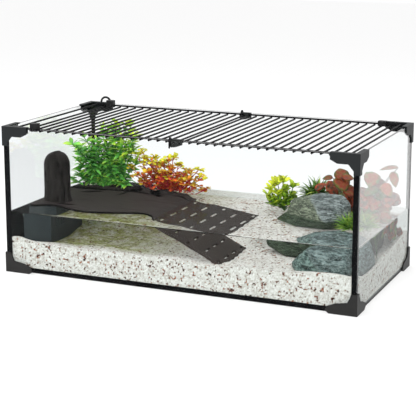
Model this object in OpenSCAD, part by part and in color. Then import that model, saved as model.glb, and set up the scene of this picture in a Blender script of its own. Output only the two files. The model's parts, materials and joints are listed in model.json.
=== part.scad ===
// Reptile terrarium: a low glass tank on corner feet, with a two-panel wire lid, a
// basking deck with ramp and hidden filter, gravel, two rocks and six plants.
// Units are millimetres. X runs right, Y runs back, Z runs up, and the origin is on the
// ground under the middle of the tank.

/* [Tank] */
// Width over the corner caps
tank_w = 600; // [560:5:700]
// Depth over the corner caps
tank_d = 296; // [280:4:340]
// Height to the top of the corner caps
tank_h = 242; // [236:2:300]
// Thickness of the side, front and back panes
glass_t = 4; // [3:0.5:5]
// Thickness of the base pane
base_t = 5; // [4:0.5:8]
// Height of the panes' lower edges above the ground
glass_lift = 2.5; // [2:0.5:5]
// Width of the silicone gap between two panes
joint_gap = 1; // [0.6:0.2:1.6]
// Leg of the silicone bead inside each upright corner
bead = 5; // [3:0.5:6]
// Height of the black band along the front and back bottom edges
band_front_h = 7; // [5:0.5:12]
// Height of the black band along the left and right bottom edges
band_side_h = 3; // [2:0.5:5]

/* [Corner caps and feet] */
// Wall thickness of the caps and feet
cap_wall = 2; // [1.5:0.5:3]
// Reach of a cap along the front or back pane
cap_arm_x = 46; // [40:1:60]
// Reach of a cap along a side pane
cap_arm_y = 43; // [36:1:56]
// Depth of a cap's arm at its end
cap_tip_h = 11; // [8:1:14]
// Height of a cap's leg down the corner
cap_leg_h = 32; // [24:1:44]
// Width of a cap's leg on each pane
cap_leg_w = 10; // [8:1:14]
// Width of the cap's top plate, measured from the outside
cap_top_w = 8.5; // [8:0.5:9]
// Reach of a foot along the front or back pane
foot_arm_x = 50; // [40:1:60]
// Reach of a foot along a side pane
foot_arm_y = 43; // [36:1:56]
// Height of a foot's leg up the corner
foot_leg_h = 33; // [24:1:44]
// Thickness of the skirt inside the cap
skirt_t = 1.8; // [1.2:0.2:2.2]
// Outer radius of the cable hoop on the back left cap
hoop_r = 11; // [9:0.5:14]
// Thickness of the cable hoop
hoop_wire = 3.6; // [2:0.2:4]

/* [Lid] */
// Diameter of the lid's wires
wire_d = 3; // [2.4:0.2:3.2]
// Distance of the lid's rim wires below the top of the glass
rim_drop = 1.5; // [1:0.5:4]
// Distance of the cross wires below the rim wires
bar_drop = 2.6; // [2.2:0.2:2.6]
// Gap between the front or back pane and the rim wires' centre lines
rim_gap_y = 5.5; // [5:0.5:8]
// Gap between a side pane and the outer rim wires' centre lines
rim_gap_x = 13; // [10:1:20]
// Cross wires in each panel
bars = 19; // [15:1:21]
// Place of the lid's split, right of the middle
split_x = 8.6; // [0:0.2:12]
// Distance between the two hinge wires
hinge_pitch = 9.6; // [9.6:0.2:14]
// Radial clearance of a hinge wire in its hanger
hinge_clear = 0.05; // [0.02:0.01:0.1]
// Length of the hook that hangs outside the pane
hook_tail = 11.5; // [8:0.5:20]
// Width of a grip tab
tab_w = 13; // [12:1:18]
// Depth of a grip tab
tab_depth = 10; // [9:1:14]
// Height of a grip tab
tab_h = 12.5; // [10:0.5:16]
// Height of the low grip tab at the back right
tab_low_h = 8.5; // [8:0.5:16]
// Distance that a left tab is set off from the cross wire that it grips
tab_shift = 3; // [0:0.5:3]

/* [Basking deck] */
// Height of the deck's upper face
deck_z = 102.5; // [98:0.5:110]
// Thickness of the deck and the ramp
deck_t = 4.5; // [3:0.5:6]
// Length of the deck
deck_len = 243; // [220:1:250]
// Depth of the deck
deck_depth = 184; // [170:1:190]
// Gap between the deck and the left pane
deck_gap = 3; // [2:0.5:6]
// Distance from the front pane to the deck's front edge
deck_front_gap = 44; // [40:1:50]
// Length of the ramp along its slope
ramp_len = 128; // [120:1:134]
// Slope of the ramp
ramp_angle = 25.4; // [22:0.2:25.4]
// Width of the ramp
ramp_w = 152; // [148:1:154]
// Length of the full slots in the ramp
slot_len = 26; // [18:1:28]
// Width of the slots in the ramp
slot_w = 4.4; // [3:0.2:5]
// Pitch of the slots along the ramp
slot_pitch_u = 29; // [28:0.5:29]
// Pitch of the slots across the ramp
slot_pitch_v = 43; // [40:0.5:43]
// Radius of a suction cup
cup_r = 9; // [7:0.5:9]

/* [Tree stump and filter] */
// Distance from the left pane to the stump's centre
stump_gap_x = 34; // [32:1:40]
// Distance from the front pane to the stump's centre
stump_gap_y = 99; // [96:1:102]
// Half width of the stump
stump_rx = 24; // [22:1:26]
// Half depth of the stump
stump_ry = 17; // [16:1:18]
// Height of the stump above the deck
stump_h = 84; // [70:1:100]
// Wall thickness of the stump and the filter housing
shell_t = 2.5; // [1.5:0.5:3]
// Bottom of the filter housing above the ground
housing_z = 30; // [24:1:34]
// Length of the filter housing along X
housing_len = 52; // [50:1:56]
// Depth of the filter housing along Y
housing_depth = 148; // [140:1:150]
// Radius of the pump
pump_r = 12; // [10:0.5:12]
// Height of the pump
pump_h = 84; // [70:1:90]
// Radius of the sponge
sponge_r = 17; // [14:0.5:17]
// Height of the sponge
sponge_h = 26; // [20:1:30]

/* [Ground] */
// General height of the gravel
gravel_z = 46; // [40:1:50]
// Gap kept between the gravel and everything that stands in it
gravel_gap = 0.3; // [0.2:0.1:0.6]

/* [Rocks] */
// Distance from the right pane to the middle of the back rock
rock_back_gap_x = 120; // [115:1:130]
// Distance from the back pane to the middle of the back rock
rock_back_gap_y = 100; // [96:1:106]
// Height of the back rock's top above the ground
rock_back_top = 133; // [124:1:140]
// Distance from the right pane to the middle of the front rock
rock_front_gap_x = 64; // [62:1:70]
// Distance from the front pane to the middle of the front rock
rock_front_gap_y = 78; // [74:1:82]
// Height of the front rock's top above the ground
rock_front_top = 88; // [80:1:92]

/* [Plants] */
// Radius of the weighted foot of each plant
plug_r = 9; // [7:0.5:10]
// Height of a plant's weighted foot
plug_h = 22; // [16:1:24]
// Thickness of the plants' leaves
leaf_t = 1.4; // [1:0.2:2]
// Radius of the plants' stems
stem_r = 1.3; // [1:0.1:1.6]

/* [Hidden] */
$fn = 48;

// Faces of the panes
out_x = tank_w / 2 - cap_wall;
out_y = tank_d / 2 - cap_wall;
in_x = out_x - glass_t;
in_y = out_y - glass_t;
glass_top = tank_h - cap_wall;
floor_z = glass_lift + base_t;

// Lid lines
wire_r = wire_d / 2;
rim_z = glass_top - rim_drop;
bar_z = rim_z - bar_drop;
rim_y = in_y - rim_gap_y;
rim_x = in_x - rim_gap_x;
hinge_left_x = split_x - hinge_pitch / 2;
hinge_right_x = split_x + hinge_pitch / 2;
rest_gap = 0.3;
hanger_y0 = rim_y + wire_r + rest_gap;
hanger_y1 = in_y - rest_gap;
hook_r = 1.25;
hook_x = hinge_left_x - wire_r - 4;
hook_bend = glass_t / 2 + hook_r + 0.1;

// Platform lines
deck_x0 = -in_x + deck_gap;
deck_x1 = deck_x0 + deck_len;
deck_y0 = -in_y + deck_front_gap;
deck_bottom = deck_z - deck_t;
stump_x = -in_x + stump_gap_x;
stump_y = -in_y + stump_gap_y;
housing_x = stump_x - 5;
housing_y = stump_y + 33;

// Rock and plant places
rock_back_x = in_x - rock_back_gap_x;
rock_back_y = in_y - rock_back_gap_y;
rock_front_x = in_x - rock_front_gap_x;
rock_front_y = -in_y + rock_front_gap_y;
tall_at = [-in_x + 62, in_y - 36];
red_at = [-in_x + 172, in_y - 38];
paddle_at = [in_x - 196, in_y - 50];
spiky_at = [in_x - 146, in_y - 38];
broad_at = [in_x - 70, in_y - 42];
tuft_at = [in_x - 42, in_y - 142];

// Length and width of each plant's leaves
tall_leaf = [22, 8];
red_leaf = [17, 11];
paddle_leaf = [15, 9];
spike_leaf = [28, 3.5];
tuft_leaf = [26, 4];
broad_leaf = [30, 22];

// Height of the gravel's surface, with its heaps and hollows
function heap(x, y, at, size) = exp(-pow((x - at[0]) / size[0], 2) - pow((y - at[1]) / size[1], 2));
function ground(x, y) = gravel_z
  + 5 * exp(-pow((y + in_y) / 30, 2))
  + 14 * exp(-pow((y - in_y) / 60, 2))
  + 8 * heap(x, y, [in_x - 26, -in_y], [70, 36])
  + 9 * heap(x, y, [-in_x + 14, -in_y], [20, 34])
  + 9 * heap(x, y, [in_x, in_y - 90], [44, 60])
  - 15 * heap(x, y, [-in_x, -in_y + 110], [50, 56])
  - 8 * heap(x, y, [deck_x1 + 114, -20], [44, 84])
  + 1.1 * sin(x * 3.1 + y * 2.3) + 0.8 * sin(x * 1.7 - y * 4.1);

// Smooth closed curve through points, with n steps from each point to the next
function curve(a, b, c, d, t) =
  0.5 * ((2 * b) + (c - a) * t + (2 * a - 5 * b + 4 * c - d) * t * t + (3 * b - a - 3 * c + d) * t * t * t);
function smooth_loop(p, n) = let(m = len(p))
  [for (i = [0:m - 1]) for (k = [0:n - 1]) curve(p[(i + m - 1) % m], p[i], p[(i + 1) % m], p[(i + 2) % m], k / n)];

// Deck outline as shares of its length and depth, going round from the front left
deck_shape = [
  [0.01, 0.07], [0.17, 0.11], [0.40, 0.01], [0.56, 0.02], [0.82, 0.14], [0.92, 0.10], [1.0, 0.02],
  [1.0, 0.80], [0.94, 0.90], [0.86, 0.97], [0.64, 0.97], [0.33, 1.0], [0.12, 0.96], [0.01, 0.86]
];

// Panes
module pane_x(side) {
  translate([side > 0 ? in_x : -out_x, -in_y + joint_gap, glass_lift])
    cube([glass_t, 2 * (in_y - joint_gap), glass_top - glass_lift]);
}

module pane_y(side) {
  translate([-out_x, side > 0 ? in_y : -out_y, glass_lift])
    cube([2 * out_x, glass_t, glass_top - glass_lift]);
}

module base_glass() {
  color([0.80, 0.90, 0.88, 0.4])
    translate([-in_x + joint_gap, -in_y + joint_gap, glass_lift])
      cube([2 * (in_x - joint_gap), 2 * (in_y - joint_gap), base_t]);
}

module front_glass() { color([0.80, 0.90, 0.88, 0.4]) pane_y(-1); }
module back_glass() { color([0.80, 0.90, 0.88, 0.4]) pane_y(1); }
module left_glass() { color([0.80, 0.90, 0.88, 0.4]) pane_x(-1); }
module right_glass() { color([0.80, 0.90, 0.88, 0.4]) pane_x(1); }

// Black silicone in each upright corner: the joint between two panes and the bead inside it
module corner_seal(sx, sy) {
  color([0.05, 0.05, 0.05])
    mirror([sx < 0 ? 1 : 0, 0, 0]) mirror([0, sy < 0 ? 1 : 0, 0])
      translate([0, 0, floor_z])
        linear_extrude(glass_top - floor_z)
          polygon([
            [out_x, in_y], [out_x, in_y - joint_gap], [in_x, in_y - joint_gap],
            [in_x, in_y - bead], [in_x - bead, in_y]
          ]);
}

// Black bands of silicone along the bottom edges
module band_y(side) {
  color([0.05, 0.05, 0.05])
    translate([-in_x + joint_gap + bead, side > 0 ? in_y - joint_gap : -in_y, glass_lift])
      cube([2 * (in_x - joint_gap - bead), joint_gap, band_front_h]);
}

module band_x(side) {
  color([0.05, 0.05, 0.05])
    translate([side > 0 ? in_x - joint_gap : -in_x, -in_y + joint_gap, glass_lift])
      cube([joint_gap, 2 * (in_y - joint_gap), band_side_h]);
}

// Outline of a foot on one pane: x is the distance from the corner, y the height
module foot_face(reach) {
  polygon([
    [0, 0], [reach - 6, 0], [reach, 4.5], [reach - 3, 11], [reach - 15, 16],
    [cap_leg_w + 6, 19], [cap_leg_w + 1.5, 28], [cap_leg_w, foot_leg_h], [0, foot_leg_h]
  ]);
}

// Outline of a top cap on one pane: x is the distance from the corner, y the depth
module cap_face(reach) {
  polygon([
    [0, 0], [reach, 0], [reach, cap_tip_h], [reach - 11, 16.5], [cap_leg_w + 8, 16.5],
    [cap_leg_w, 26], [cap_leg_w, cap_leg_h], [0, cap_leg_h]
  ]);
}

// A foot in the corner at +X, -Y
module foot_corner() {
  translate([tank_w / 2, -tank_d / 2, 0]) {
    translate([0, cap_wall, 0]) rotate([90, 0, 0]) linear_extrude(cap_wall) mirror([1, 0]) foot_face(foot_arm_x);
    translate([-cap_wall, 0, 0]) rotate([90, 0, 90]) linear_extrude(cap_wall) foot_face(foot_arm_y);
    translate([-foot_arm_x + 6, 0, 0]) cube([foot_arm_x - 6, cap_leg_w, glass_lift]);
    translate([-cap_leg_w, 0, 0]) cube([cap_leg_w, foot_arm_y - 6, glass_lift]);
  }
}

module foot_at(sx, sy) {
  color([0.14, 0.13, 0.13])
    mirror([sx < 0 ? 1 : 0, 0, 0]) mirror([0, sy > 0 ? 1 : 0, 0]) foot_corner();
}

// A top cap in the corner at +X, -Y, with the ledge that the lid's rim rests on
module cap_corner() {
  skirt_z = glass_top - 8;
  ledge_z = rim_z - wire_r - rest_gap;
  seal_x = in_x - bead - 1;
  translate([tank_w / 2, -tank_d / 2 + cap_wall, tank_h])
    rotate([90, 0, 0]) mirror([1, 0, 0]) mirror([0, 1, 0]) linear_extrude(cap_wall) cap_face(cap_arm_x);
  translate([tank_w / 2 - cap_wall, -tank_d / 2, tank_h])
    rotate([90, 0, 90]) mirror([0, 1, 0]) linear_extrude(cap_wall) cap_face(cap_arm_y);
  translate([tank_w / 2 - cap_arm_x, -tank_d / 2, glass_top]) cube([cap_arm_x, cap_top_w, cap_wall]);
  translate([tank_w / 2 - cap_top_w, -tank_d / 2, glass_top]) cube([cap_top_w, cap_arm_y, cap_wall]);
  translate([tank_w / 2 - cap_arm_x, -in_y, skirt_z])
    cube([seal_x - tank_w / 2 + cap_arm_x, skirt_t, tank_h - skirt_z]);
  translate([rim_x - 11, -in_y, ledge_z - 4])
    cube([14, rim_gap_y + wire_r + 1, 4]);
}

module cap_at(sx, sy) {
  color([0.14, 0.15, 0.16])
    mirror([sx < 0 ? 1 : 0, 0, 0]) mirror([0, sy > 0 ? 1 : 0, 0]) cap_corner();
}

// Half ring on the back left cap that a cable can pass through
module cable_hoop() {
  color([0.10, 0.10, 0.11])
    translate([-tank_w / 2 + 33, tank_d / 2 - cap_top_w / 2, tank_h])
      rotate([90, 0, 0])
        rotate_extrude(angle = 180) translate([hoop_r - hoop_wire / 2, 0]) circle(d = hoop_wire);
}

// A straight wire from a to b
module wire(a, b, r = wire_r) {
  d = b - a;
  translate(a)
    rotate([0, acos(d[2] / norm(d)), atan2(d[1], d[0])]) cylinder(h = norm(d), r = r);
}

// A lid panel as one welded grid. The outer rim lies at x1, and the hinge wire at x0
// runs on past the rim into the hangers.
module panel(x0, x1) {
  step = (x1 - x0) / (bars + 0.15);
  pin_y = hanger_y1 - 0.3;
  wire([x1, -rim_y, rim_z], [x1, rim_y, rim_z]);
  for (s = [-1, 1]) {
    wire([x0, s * rim_y, rim_z], [x1, s * rim_y, rim_z]);
    translate([x1, s * rim_y, rim_z]) sphere(r = wire_r);
  }
  wire([x0, -pin_y, bar_z], [x0, pin_y, bar_z]);
  for (i = [1:bars - 1])
    wire([x0 + i * step, -rim_y - 1, bar_z], [x0 + i * step, rim_y + 1, bar_z]);
}

module lid_left() { color([0.08, 0.08, 0.08]) panel(hinge_left_x, -rim_x); }
module lid_right() { color([0.08, 0.08, 0.08]) panel(hinge_right_x, rim_x); }

// Plastic hanger inside the front or back pane. Both hinge wires turn in its bores, and
// the hook lies in the channel in its face.
module hanger(side) {
  left = hook_x - hook_r - 1.2;
  right = hinge_right_x + wire_r + 2;
  color([0.10, 0.10, 0.10])
    mirror([0, side > 0 ? 1 : 0, 0])
      difference() {
        translate([0, -hanger_y0, 0]) rotate([90, 0, 0]) linear_extrude(hanger_y1 - hanger_y0)
          polygon([
            [left, glass_top + 1.5], [right, glass_top + 1.5], [right, bar_z - 3],
            [hinge_left_x + 3, bar_z - 6.5], [left + 3, bar_z - 7.5], [left, bar_z - 4.5]
          ]);
        for (x = [hinge_left_x, hinge_right_x])
          translate([x, -hanger_y1 - 1, bar_z]) rotate([-90, 0, 0])
            cylinder(h = hanger_y1 - hanger_y0 + 2, r = wire_r + hinge_clear);
        translate([hook_x, -in_y - glass_t / 2 + hook_bend, bar_z - 5]) cylinder(h = 20, r = hook_r + 0.05);
        translate([left - 1, -in_y, glass_top - 0.4]) cube([hook_x + hook_r + 1.1 - left, 2 * rim_gap_y, 20]);
      }
}

module hanger_front() { hanger(-1); }
module hanger_back() { hanger(1); }

// Wire hook over the top of a pane that carries the hanger
module hook(side) {
  mid_y = in_y + glass_t / 2;
  color([0.06, 0.06, 0.06])
    mirror([0, side > 0 ? 1 : 0, 0]) {
      translate([hook_x, -mid_y, glass_top])
        rotate([90, 0, 90]) rotate_extrude(angle = 180) translate([hook_bend, 0]) circle(r = hook_r);
      wire([hook_x, -mid_y - hook_bend, glass_top - hook_tail], [hook_x, -mid_y - hook_bend, glass_top], hook_r);
      wire([hook_x, -mid_y + hook_bend, bar_z - 4.8], [hook_x, -mid_y + hook_bend, glass_top], hook_r);
      translate([hook_x, -mid_y - hook_bend, glass_top - hook_tail]) sphere(r = hook_r);
    }
}

module hook_front() { hook(-1); }
module hook_back() { hook(1); }

// Grip tab clipped over the rim wire and one cross wire near a panel's outer corner.
// bar_x is the cross wire that it is clipped over, and shift sets it off from that wire.
module tab(bar_x, side, shift, h) {
  fit = 0.05;
  grip = bar_drop + 0.5;
  color([0.09, 0.09, 0.10])
    difference() {
      translate([bar_x + shift - tab_w / 2, side > 0 ? rim_y + 2.4 - tab_depth : -rim_y - 2.4, rim_z - grip])
        cube([tab_w, tab_depth, h]);
      wire([bar_x - 2 * tab_w, side * rim_y, rim_z], [bar_x + 2 * tab_w, side * rim_y, rim_z], wire_r + fit);
      wire([bar_x, -rim_y - 1 - fit, bar_z], [bar_x, rim_y + 1 + fit, bar_z], wire_r + fit);
    }
}

function bar_place(x0, x1, i) = x0 + i * (x1 - x0) / (bars + 0.15);
module tab_front_left() { tab(bar_place(hinge_left_x, -rim_x, bars - 2), -1, tab_shift, tab_h); }
module tab_back_left() { tab(bar_place(hinge_left_x, -rim_x, bars - 2), 1, -tab_shift, tab_h); }
module tab_back_right() { tab(bar_place(hinge_right_x, rim_x, bars - 2), 1, 0, tab_low_h); }

// Basking deck with the lugs that its suction cups plug into
module deck() {
  color([0.22, 0.20, 0.20]) {
    difference() {
      translate([deck_x0, deck_y0, deck_bottom])
        linear_extrude(deck_t)
          intersection() {
            polygon([for (p = smooth_loop(deck_shape, 4)) [p[0] * deck_len, p[1] * deck_depth]]);
            translate([0, -5]) square([deck_len, deck_depth + 10]);
          }
      translate([stump_x, stump_y, deck_bottom - 1]) cylinder(h = deck_t + 2, r = pump_r + 0.5);
    }
    for (y = cup_places) translate([deck_x0 + 10, y - 5, deck_bottom - 15]) cube([3, 10, 15]);
  }
}

cup_places = [deck_y0 + 27, deck_y0 + 138];

// Suction cups on the left pane, each with a stem that ends against a lug of the deck
module suction_cups() {
  reach = deck_gap + 10;
  color([0.75, 0.78, 0.76, 0.6])
    for (y = cup_places)
      translate([-in_x, y, deck_bottom - cup_r - 1])
        rotate([0, 90, 0])
          rotate_extrude()
            polygon([[0, 1.5], [cup_r - 1, 0], [cup_r, 0], [cup_r - 0.5, 1.2], [3.5, 4.5], [3, reach], [0, reach]]);
}

// Ramp outline in its own plane: u down the slope, v across
function ramp_shape() = let(u = ramp_len, h = ramp_w / 2) concat(
  [[0, -h + 0.5], [12, -h - 1], [28, -h - 0.5], [46, -h + 5], [72, -h + 3], [97, -h + 5], [u - 10, -h + 1]],
  [for (k = [0:12]) [u + 5 - k * 0.4 - (k % 2) * 2.2, -h - 1 + k * (ramp_w / 12)]],
  [[u - 16, h - 2], [u - 38, h - 1], [63, h + 1], [38, h + 2], [21, h - 5], [0, h - 2]]
);

module slot(length) {
  square([slot_w, length - slot_w], center = true);
  for (s = [-1, 1]) translate([0, s * (length - slot_w) / 2]) circle(d = slot_w, $fn = 24);
}

module ramp_slots() {
  for (col = [0:4])
    if (col % 2 == 0)
      for (row = [0:3])
        translate([5.5 + col * slot_pitch_u, (row - 1.5) * slot_pitch_v])
          slot(row == 0 || row == 3 ? slot_len / 2 : slot_len);
    else
      for (row = [0:2]) translate([5.5 + col * slot_pitch_u, (row - 1) * slot_pitch_v]) slot(slot_len);
}

ramp_mid_y = deck_y0 + 76;
module ramp() {
  lip = 12;
  color([0.25, 0.22, 0.21]) {
    translate([deck_x1, ramp_mid_y, deck_bottom])
      rotate([0, ramp_angle, 0])
        translate([0, 0, -deck_t])
          linear_extrude(deck_t)
            difference() {
              polygon(ramp_shape());
              ramp_slots();
            }
    translate([deck_x1 - lip, ramp_mid_y - ramp_w / 2 + 6, deck_bottom - 3])
      cube([lip + 1, ramp_w - 16, 3]);
  }
}

// Fluted outline of the stump, drawn in by inset on every side
function stump_ring(inset) = [
  for (a = [0:7.5:359])
    let(flute = 1 + 0.035 * cos(a * 9) + 0.02 * cos(a * 4 + 40))
      [(stump_rx * flute - inset) * cos(a), (stump_ry * flute - inset) * sin(a)]
];

module stump_solid(inset) {
  arch = stump_rx - inset;
  intersection() {
    linear_extrude(stump_h) polygon(stump_ring(inset));
    translate([0, stump_ry * 2, 0])
      rotate([90, 0, 0])
        linear_extrude(stump_ry * 4)
          union() {
            translate([-arch, -1]) square([2 * arch, stump_h - stump_rx + 1]);
            translate([0, stump_h - stump_rx]) circle(r = arch);
          }
  }
}

// Hollow tree stump that hides the pump
module stump() {
  color([0.17, 0.15, 0.14])
    translate([stump_x, stump_y, deck_z])
      difference() {
        stump_solid(0);
        translate([0, 0, -0.01]) stump_solid(shell_t);
      }
}

// Open filter box under the deck, with slots for the water in its right wall. Its left
// wall is open where the suction cups reach through it.
module filter_housing() {
  h = deck_bottom - housing_z;
  color([0.20, 0.23, 0.24])
    translate([housing_x - housing_len / 2, housing_y - housing_depth / 2, housing_z])
      difference() {
        cube([housing_len, housing_depth, h]);
        translate([shell_t, shell_t, shell_t])
          cube([housing_len - 2 * shell_t, housing_depth - 2 * shell_t, h]);
        for (i = [0:3])
          translate([housing_len - 2 * shell_t, 24 + i * 11, h * 0.55]) cube([3 * shell_t, 5, h * 0.3]);
        for (y = cup_places)
          translate([-1, y - housing_y + housing_depth / 2 - cup_r - 1, h - 2 * cup_r - 3]) cube([shell_t + 2, 2 * cup_r + 2, 2 * cup_r + 4]);
      }
}

// Pump that stands in the sponge and reaches up into the stump
module filter_pump() {
  z0 = housing_z + shell_t + sponge_h;
  color([0.12, 0.12, 0.13])
    translate([stump_x, stump_y, z0]) {
      cylinder(h = pump_h - 8, r = pump_r - 0.5);
      translate([0, 0, pump_h - 8]) cylinder(h = 8, r = pump_r - 5);
    }
}

module filter_sponge() {
  color([0.15, 0.20, 0.28])
    translate([stump_x, stump_y, housing_z + shell_t]) cylinder(h = sponge_h, r = sponge_r);
}

// A rock as the hull of balls at corner points, each [x, y, z, r]. grow widens it for the
// hollow that it leaves in the gravel.
module rock(corners, grow = 0) {
  hull() for (c = corners) translate([c[0], c[1], c[2]]) sphere(r = c[3] + grow, $fn = 14);
}

function back_corners() = let(x = rock_back_x, y = rock_back_y, z = rock_back_top) [
  [x - 40, y + 6, z - 18, 8], [x - 11, y - 3, z - 14, 8], [x - 2, y + 18, z - 10, 9], [x + 34, y + 13, z - 9, 9],
  [x + 46, y + 2, z - 16, 9], [x - 44, y + 8, 96, 8], [x + 24, y - 38, 99, 8], [x + 36, y - 26, 90, 9],
  [x - 56, y - 14, 64, 10], [x - 22, y - 28, 54, 12], [x + 22, y - 34, 60, 12], [x + 42, y - 16, 62, 12],
  [x - 42, y + 20, 62, 12], [x + 36, y + 24, 62, 12]
];

function front_corners() = let(x = rock_front_x, y = rock_front_y, z = rock_front_top) [
  [x - 44, y - 6, 52, 9], [x - 30, y - 28, 50, 11], [x - 24, y - 20, z - 16, 9], [x + 6, y - 34, z - 12, 9],
  [x + 34, y - 30, z - 12, 9], [x + 38, y + 10, z - 10, 9], [x + 6, y + 34, z - 12, 9], [x - 26, y + 18, z - 18, 9],
  [x + 36, y - 36, 52, 10], [x + 10, y - 38, 50, 10], [x + 34, y + 28, 52, 12]
];

module rock_back() { color([0.42, 0.47, 0.45]) rock(back_corners()); }
module rock_front() { color([0.36, 0.42, 0.42]) rock(front_corners()); }

// A leaf from the origin along +X with its widest place at a share of its length
module leaf(length, width, widest = 0.45) {
  w = width / 2;
  m = length * widest;
  hull()
    polyhedron(
      points = [[0, 0, 0], [m, w, 0], [length, 0, 0], [m, -w, 0], [m, 0, leaf_t / 2], [m, 0, -leaf_t / 2]],
      faces = [[0, 1, 4], [1, 2, 4], [2, 3, 4], [3, 0, 4], [1, 0, 5], [2, 1, 5], [3, 2, 5], [0, 3, 5]]
    );
}

module twig(a, b, r = stem_r) {
  wire_dir = b - a;
  translate(a)
    rotate([0, acos(wire_dir[2] / norm(wire_dir)), atan2(wire_dir[1], wire_dir[0])])
      cylinder(h = norm(wire_dir), r = r, $fn = 5);
}

// A point on a stem that starts upright at a and leans out to b
function lean(a, b, t) = let(out = pow(t, 1.6)) [a[0] + (b[0] - a[0]) * out, a[1] + (b[1] - a[1]) * out, a[2] + (b[2] - a[2]) * t];

module stem(a, b, parts = 4) {
  for (i = [0:parts - 1]) twig(lean(a, b, i / parts), lean(a, b, (i + 1) / parts + 0.02));
}

// Weighted foot of a plant, sunk in the gravel
module plug(at) {
  top = ground(at[0], at[1]) - 2;
  translate([at[0], at[1], top - plug_h]) cylinder(h = plug_h, r = plug_r, $fn = 16);
}

function plug_top(at) = [at[0], at[1], ground(at[0], at[1]) - 3];

// Share of a stem's height at which it rises above the deck
function above_deck(root, tip) = (deck_z + 3 - root[2]) / (tip[2] - root[2]);

// A stem from the plant's foot with tiers of leaves. place is the tip's place from the
// foot, with its height above the ground as its third value.
module shoot(root, place, tiers, ring, size, tilt, turn) {
  tip = [root[0] + place[0], root[1] + place[1], place[2]];
  base = [root[0] + place[0] * 0.04, root[1] + place[1] * 0.04, root[2] - 2];
  t0 = max(0.45, above_deck(base, tip));
  stem(base, tip, norm([place[0], place[1]]) > 56 ? 5 : 3);
  for (k = [0:tiers - 1])
    let(t = t0 + (0.99 - t0) * k / (tiers - 1))
      for (j = [0:ring - 1])
        translate(lean(base, tip, t))
          rotate([0, tilt - 30 * k / (tiers - 1), j * 360 / ring + k * 50 + turn]) leaf(size[0] - 1.5 * k, size[1], size[2]);
}

tall_tips = [
  [-40, -6, 176], [-28, 8, 196], [-12, -10, 206], [2, 6, 214], [17, -8, 208], [33, 2, 206], [48, -14, 190],
  [-44, -70, 184], [-40, -40, 168]
];

module plant_tall() {
  color([0.16, 0.48, 0.18]) {
    plug(tall_at);
    for (s = [0:len(tall_tips) - 1]) shoot(plug_top(tall_at), tall_tips[s], 5, 3, concat(tall_leaf, 0.45), -18, s * 25);
  }
}

red_tips = [
  [-54, -12, 132], [-40, 6, 146], [-24, -12, 158], [-6, 4, 160], [14, -10, 152], [34, 8, 142], [56, -6, 130]
];

module plant_red() {
  color([0.80, 0.30, 0.10]) {
    plug(red_at);
    for (s = [0:len(red_tips) - 1]) shoot(plug_top(red_at), red_tips[s], 4, 3, concat(red_leaf, 0.65), -30, s * 35);
  }
}

paddle_tips = [[-32, -10, 128], [-16, 6, 142], [0, -12, 146], [14, 6, 134], [24, 10, 118]];

module plant_paddle() {
  color([0.45, 0.62, 0.12]) {
    plug(paddle_at);
    for (s = [0:len(paddle_tips) - 1]) shoot(plug_top(paddle_at), paddle_tips[s], 4, 2, concat(paddle_leaf, 0.7), -40, s * 60);
  }
}

// A ball of narrow leaves at the top of a short stem
module spikes(at, count, length, width, spread) {
  for (i = [0:count - 1])
    translate(at)
      rotate([0, -90 + spread * sqrt((i + 0.5) / count), i * 137.5]) leaf(length * (0.85 + 0.15 * cos(i * 77)), width, 0.5);
}

module plant_spiky() {
  root = plug_top(spiky_at);
  color([0.10, 0.30, 0.16]) {
    plug(spiky_at);
    for (top = [[-6, 2, 118], [8, -2, 124]]) {
      stem(root, [root[0] + top[0], root[1] + top[1], top[2]], 2);
      spikes([root[0] + top[0], root[1] + top[1], top[2] - 2], 14, spike_leaf[0], spike_leaf[1], 80);
    }
  }
}

// Broad leaves of the red and green plant: where each lies from the foot, its height,
// the way that it points and its tilt
broad_leaves = [
  [-42, -6, 156, 200, -10], [-24, -18, 166, 250, -20], [-10, 6, 162, 150, -10], [8, -20, 158, 290, -5],
  [24, -12, 152, 330, 8], [18, 10, 172, 60, -10], [30, -26, 130, 300, 12], [-30, -16, 150, 220, 6],
  [4, -28, 146, 265, 6], [28, 4, 128, 20, 15], [-34, 8, 140, 170, 4], [22, -34, 110, 285, 18]
];

module plant_broad() {
  root = plug_top(broad_at);
  color([0.45, 0.16, 0.12]) {
    plug(broad_at);
    for (b = broad_leaves) {
      end = [root[0] + b[0], root[1] + b[1], b[2]];
      stem([root[0] + b[0] * 0.12, root[1] + b[1] * 0.12, root[2] - 2], end, 3);
      translate(end) rotate([0, b[4], b[3]]) leaf(broad_leaf[0], broad_leaf[1], 0.4);
    }
  }
}

module plant_tuft() {
  root = plug_top(tuft_at);
  color([0.35, 0.62, 0.16]) {
    plug(tuft_at);
    for (top = [[-9, -4, 100], [4, 3, 108], [12, -6, 98]]) {
      stem(root, [root[0] + top[0], root[1] + top[1], top[2]], 2);
      spikes([root[0] + top[0], root[1] + top[1], top[2] - 2], 12, tuft_leaf[0], tuft_leaf[1], 64);
    }
  }
}

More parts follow.
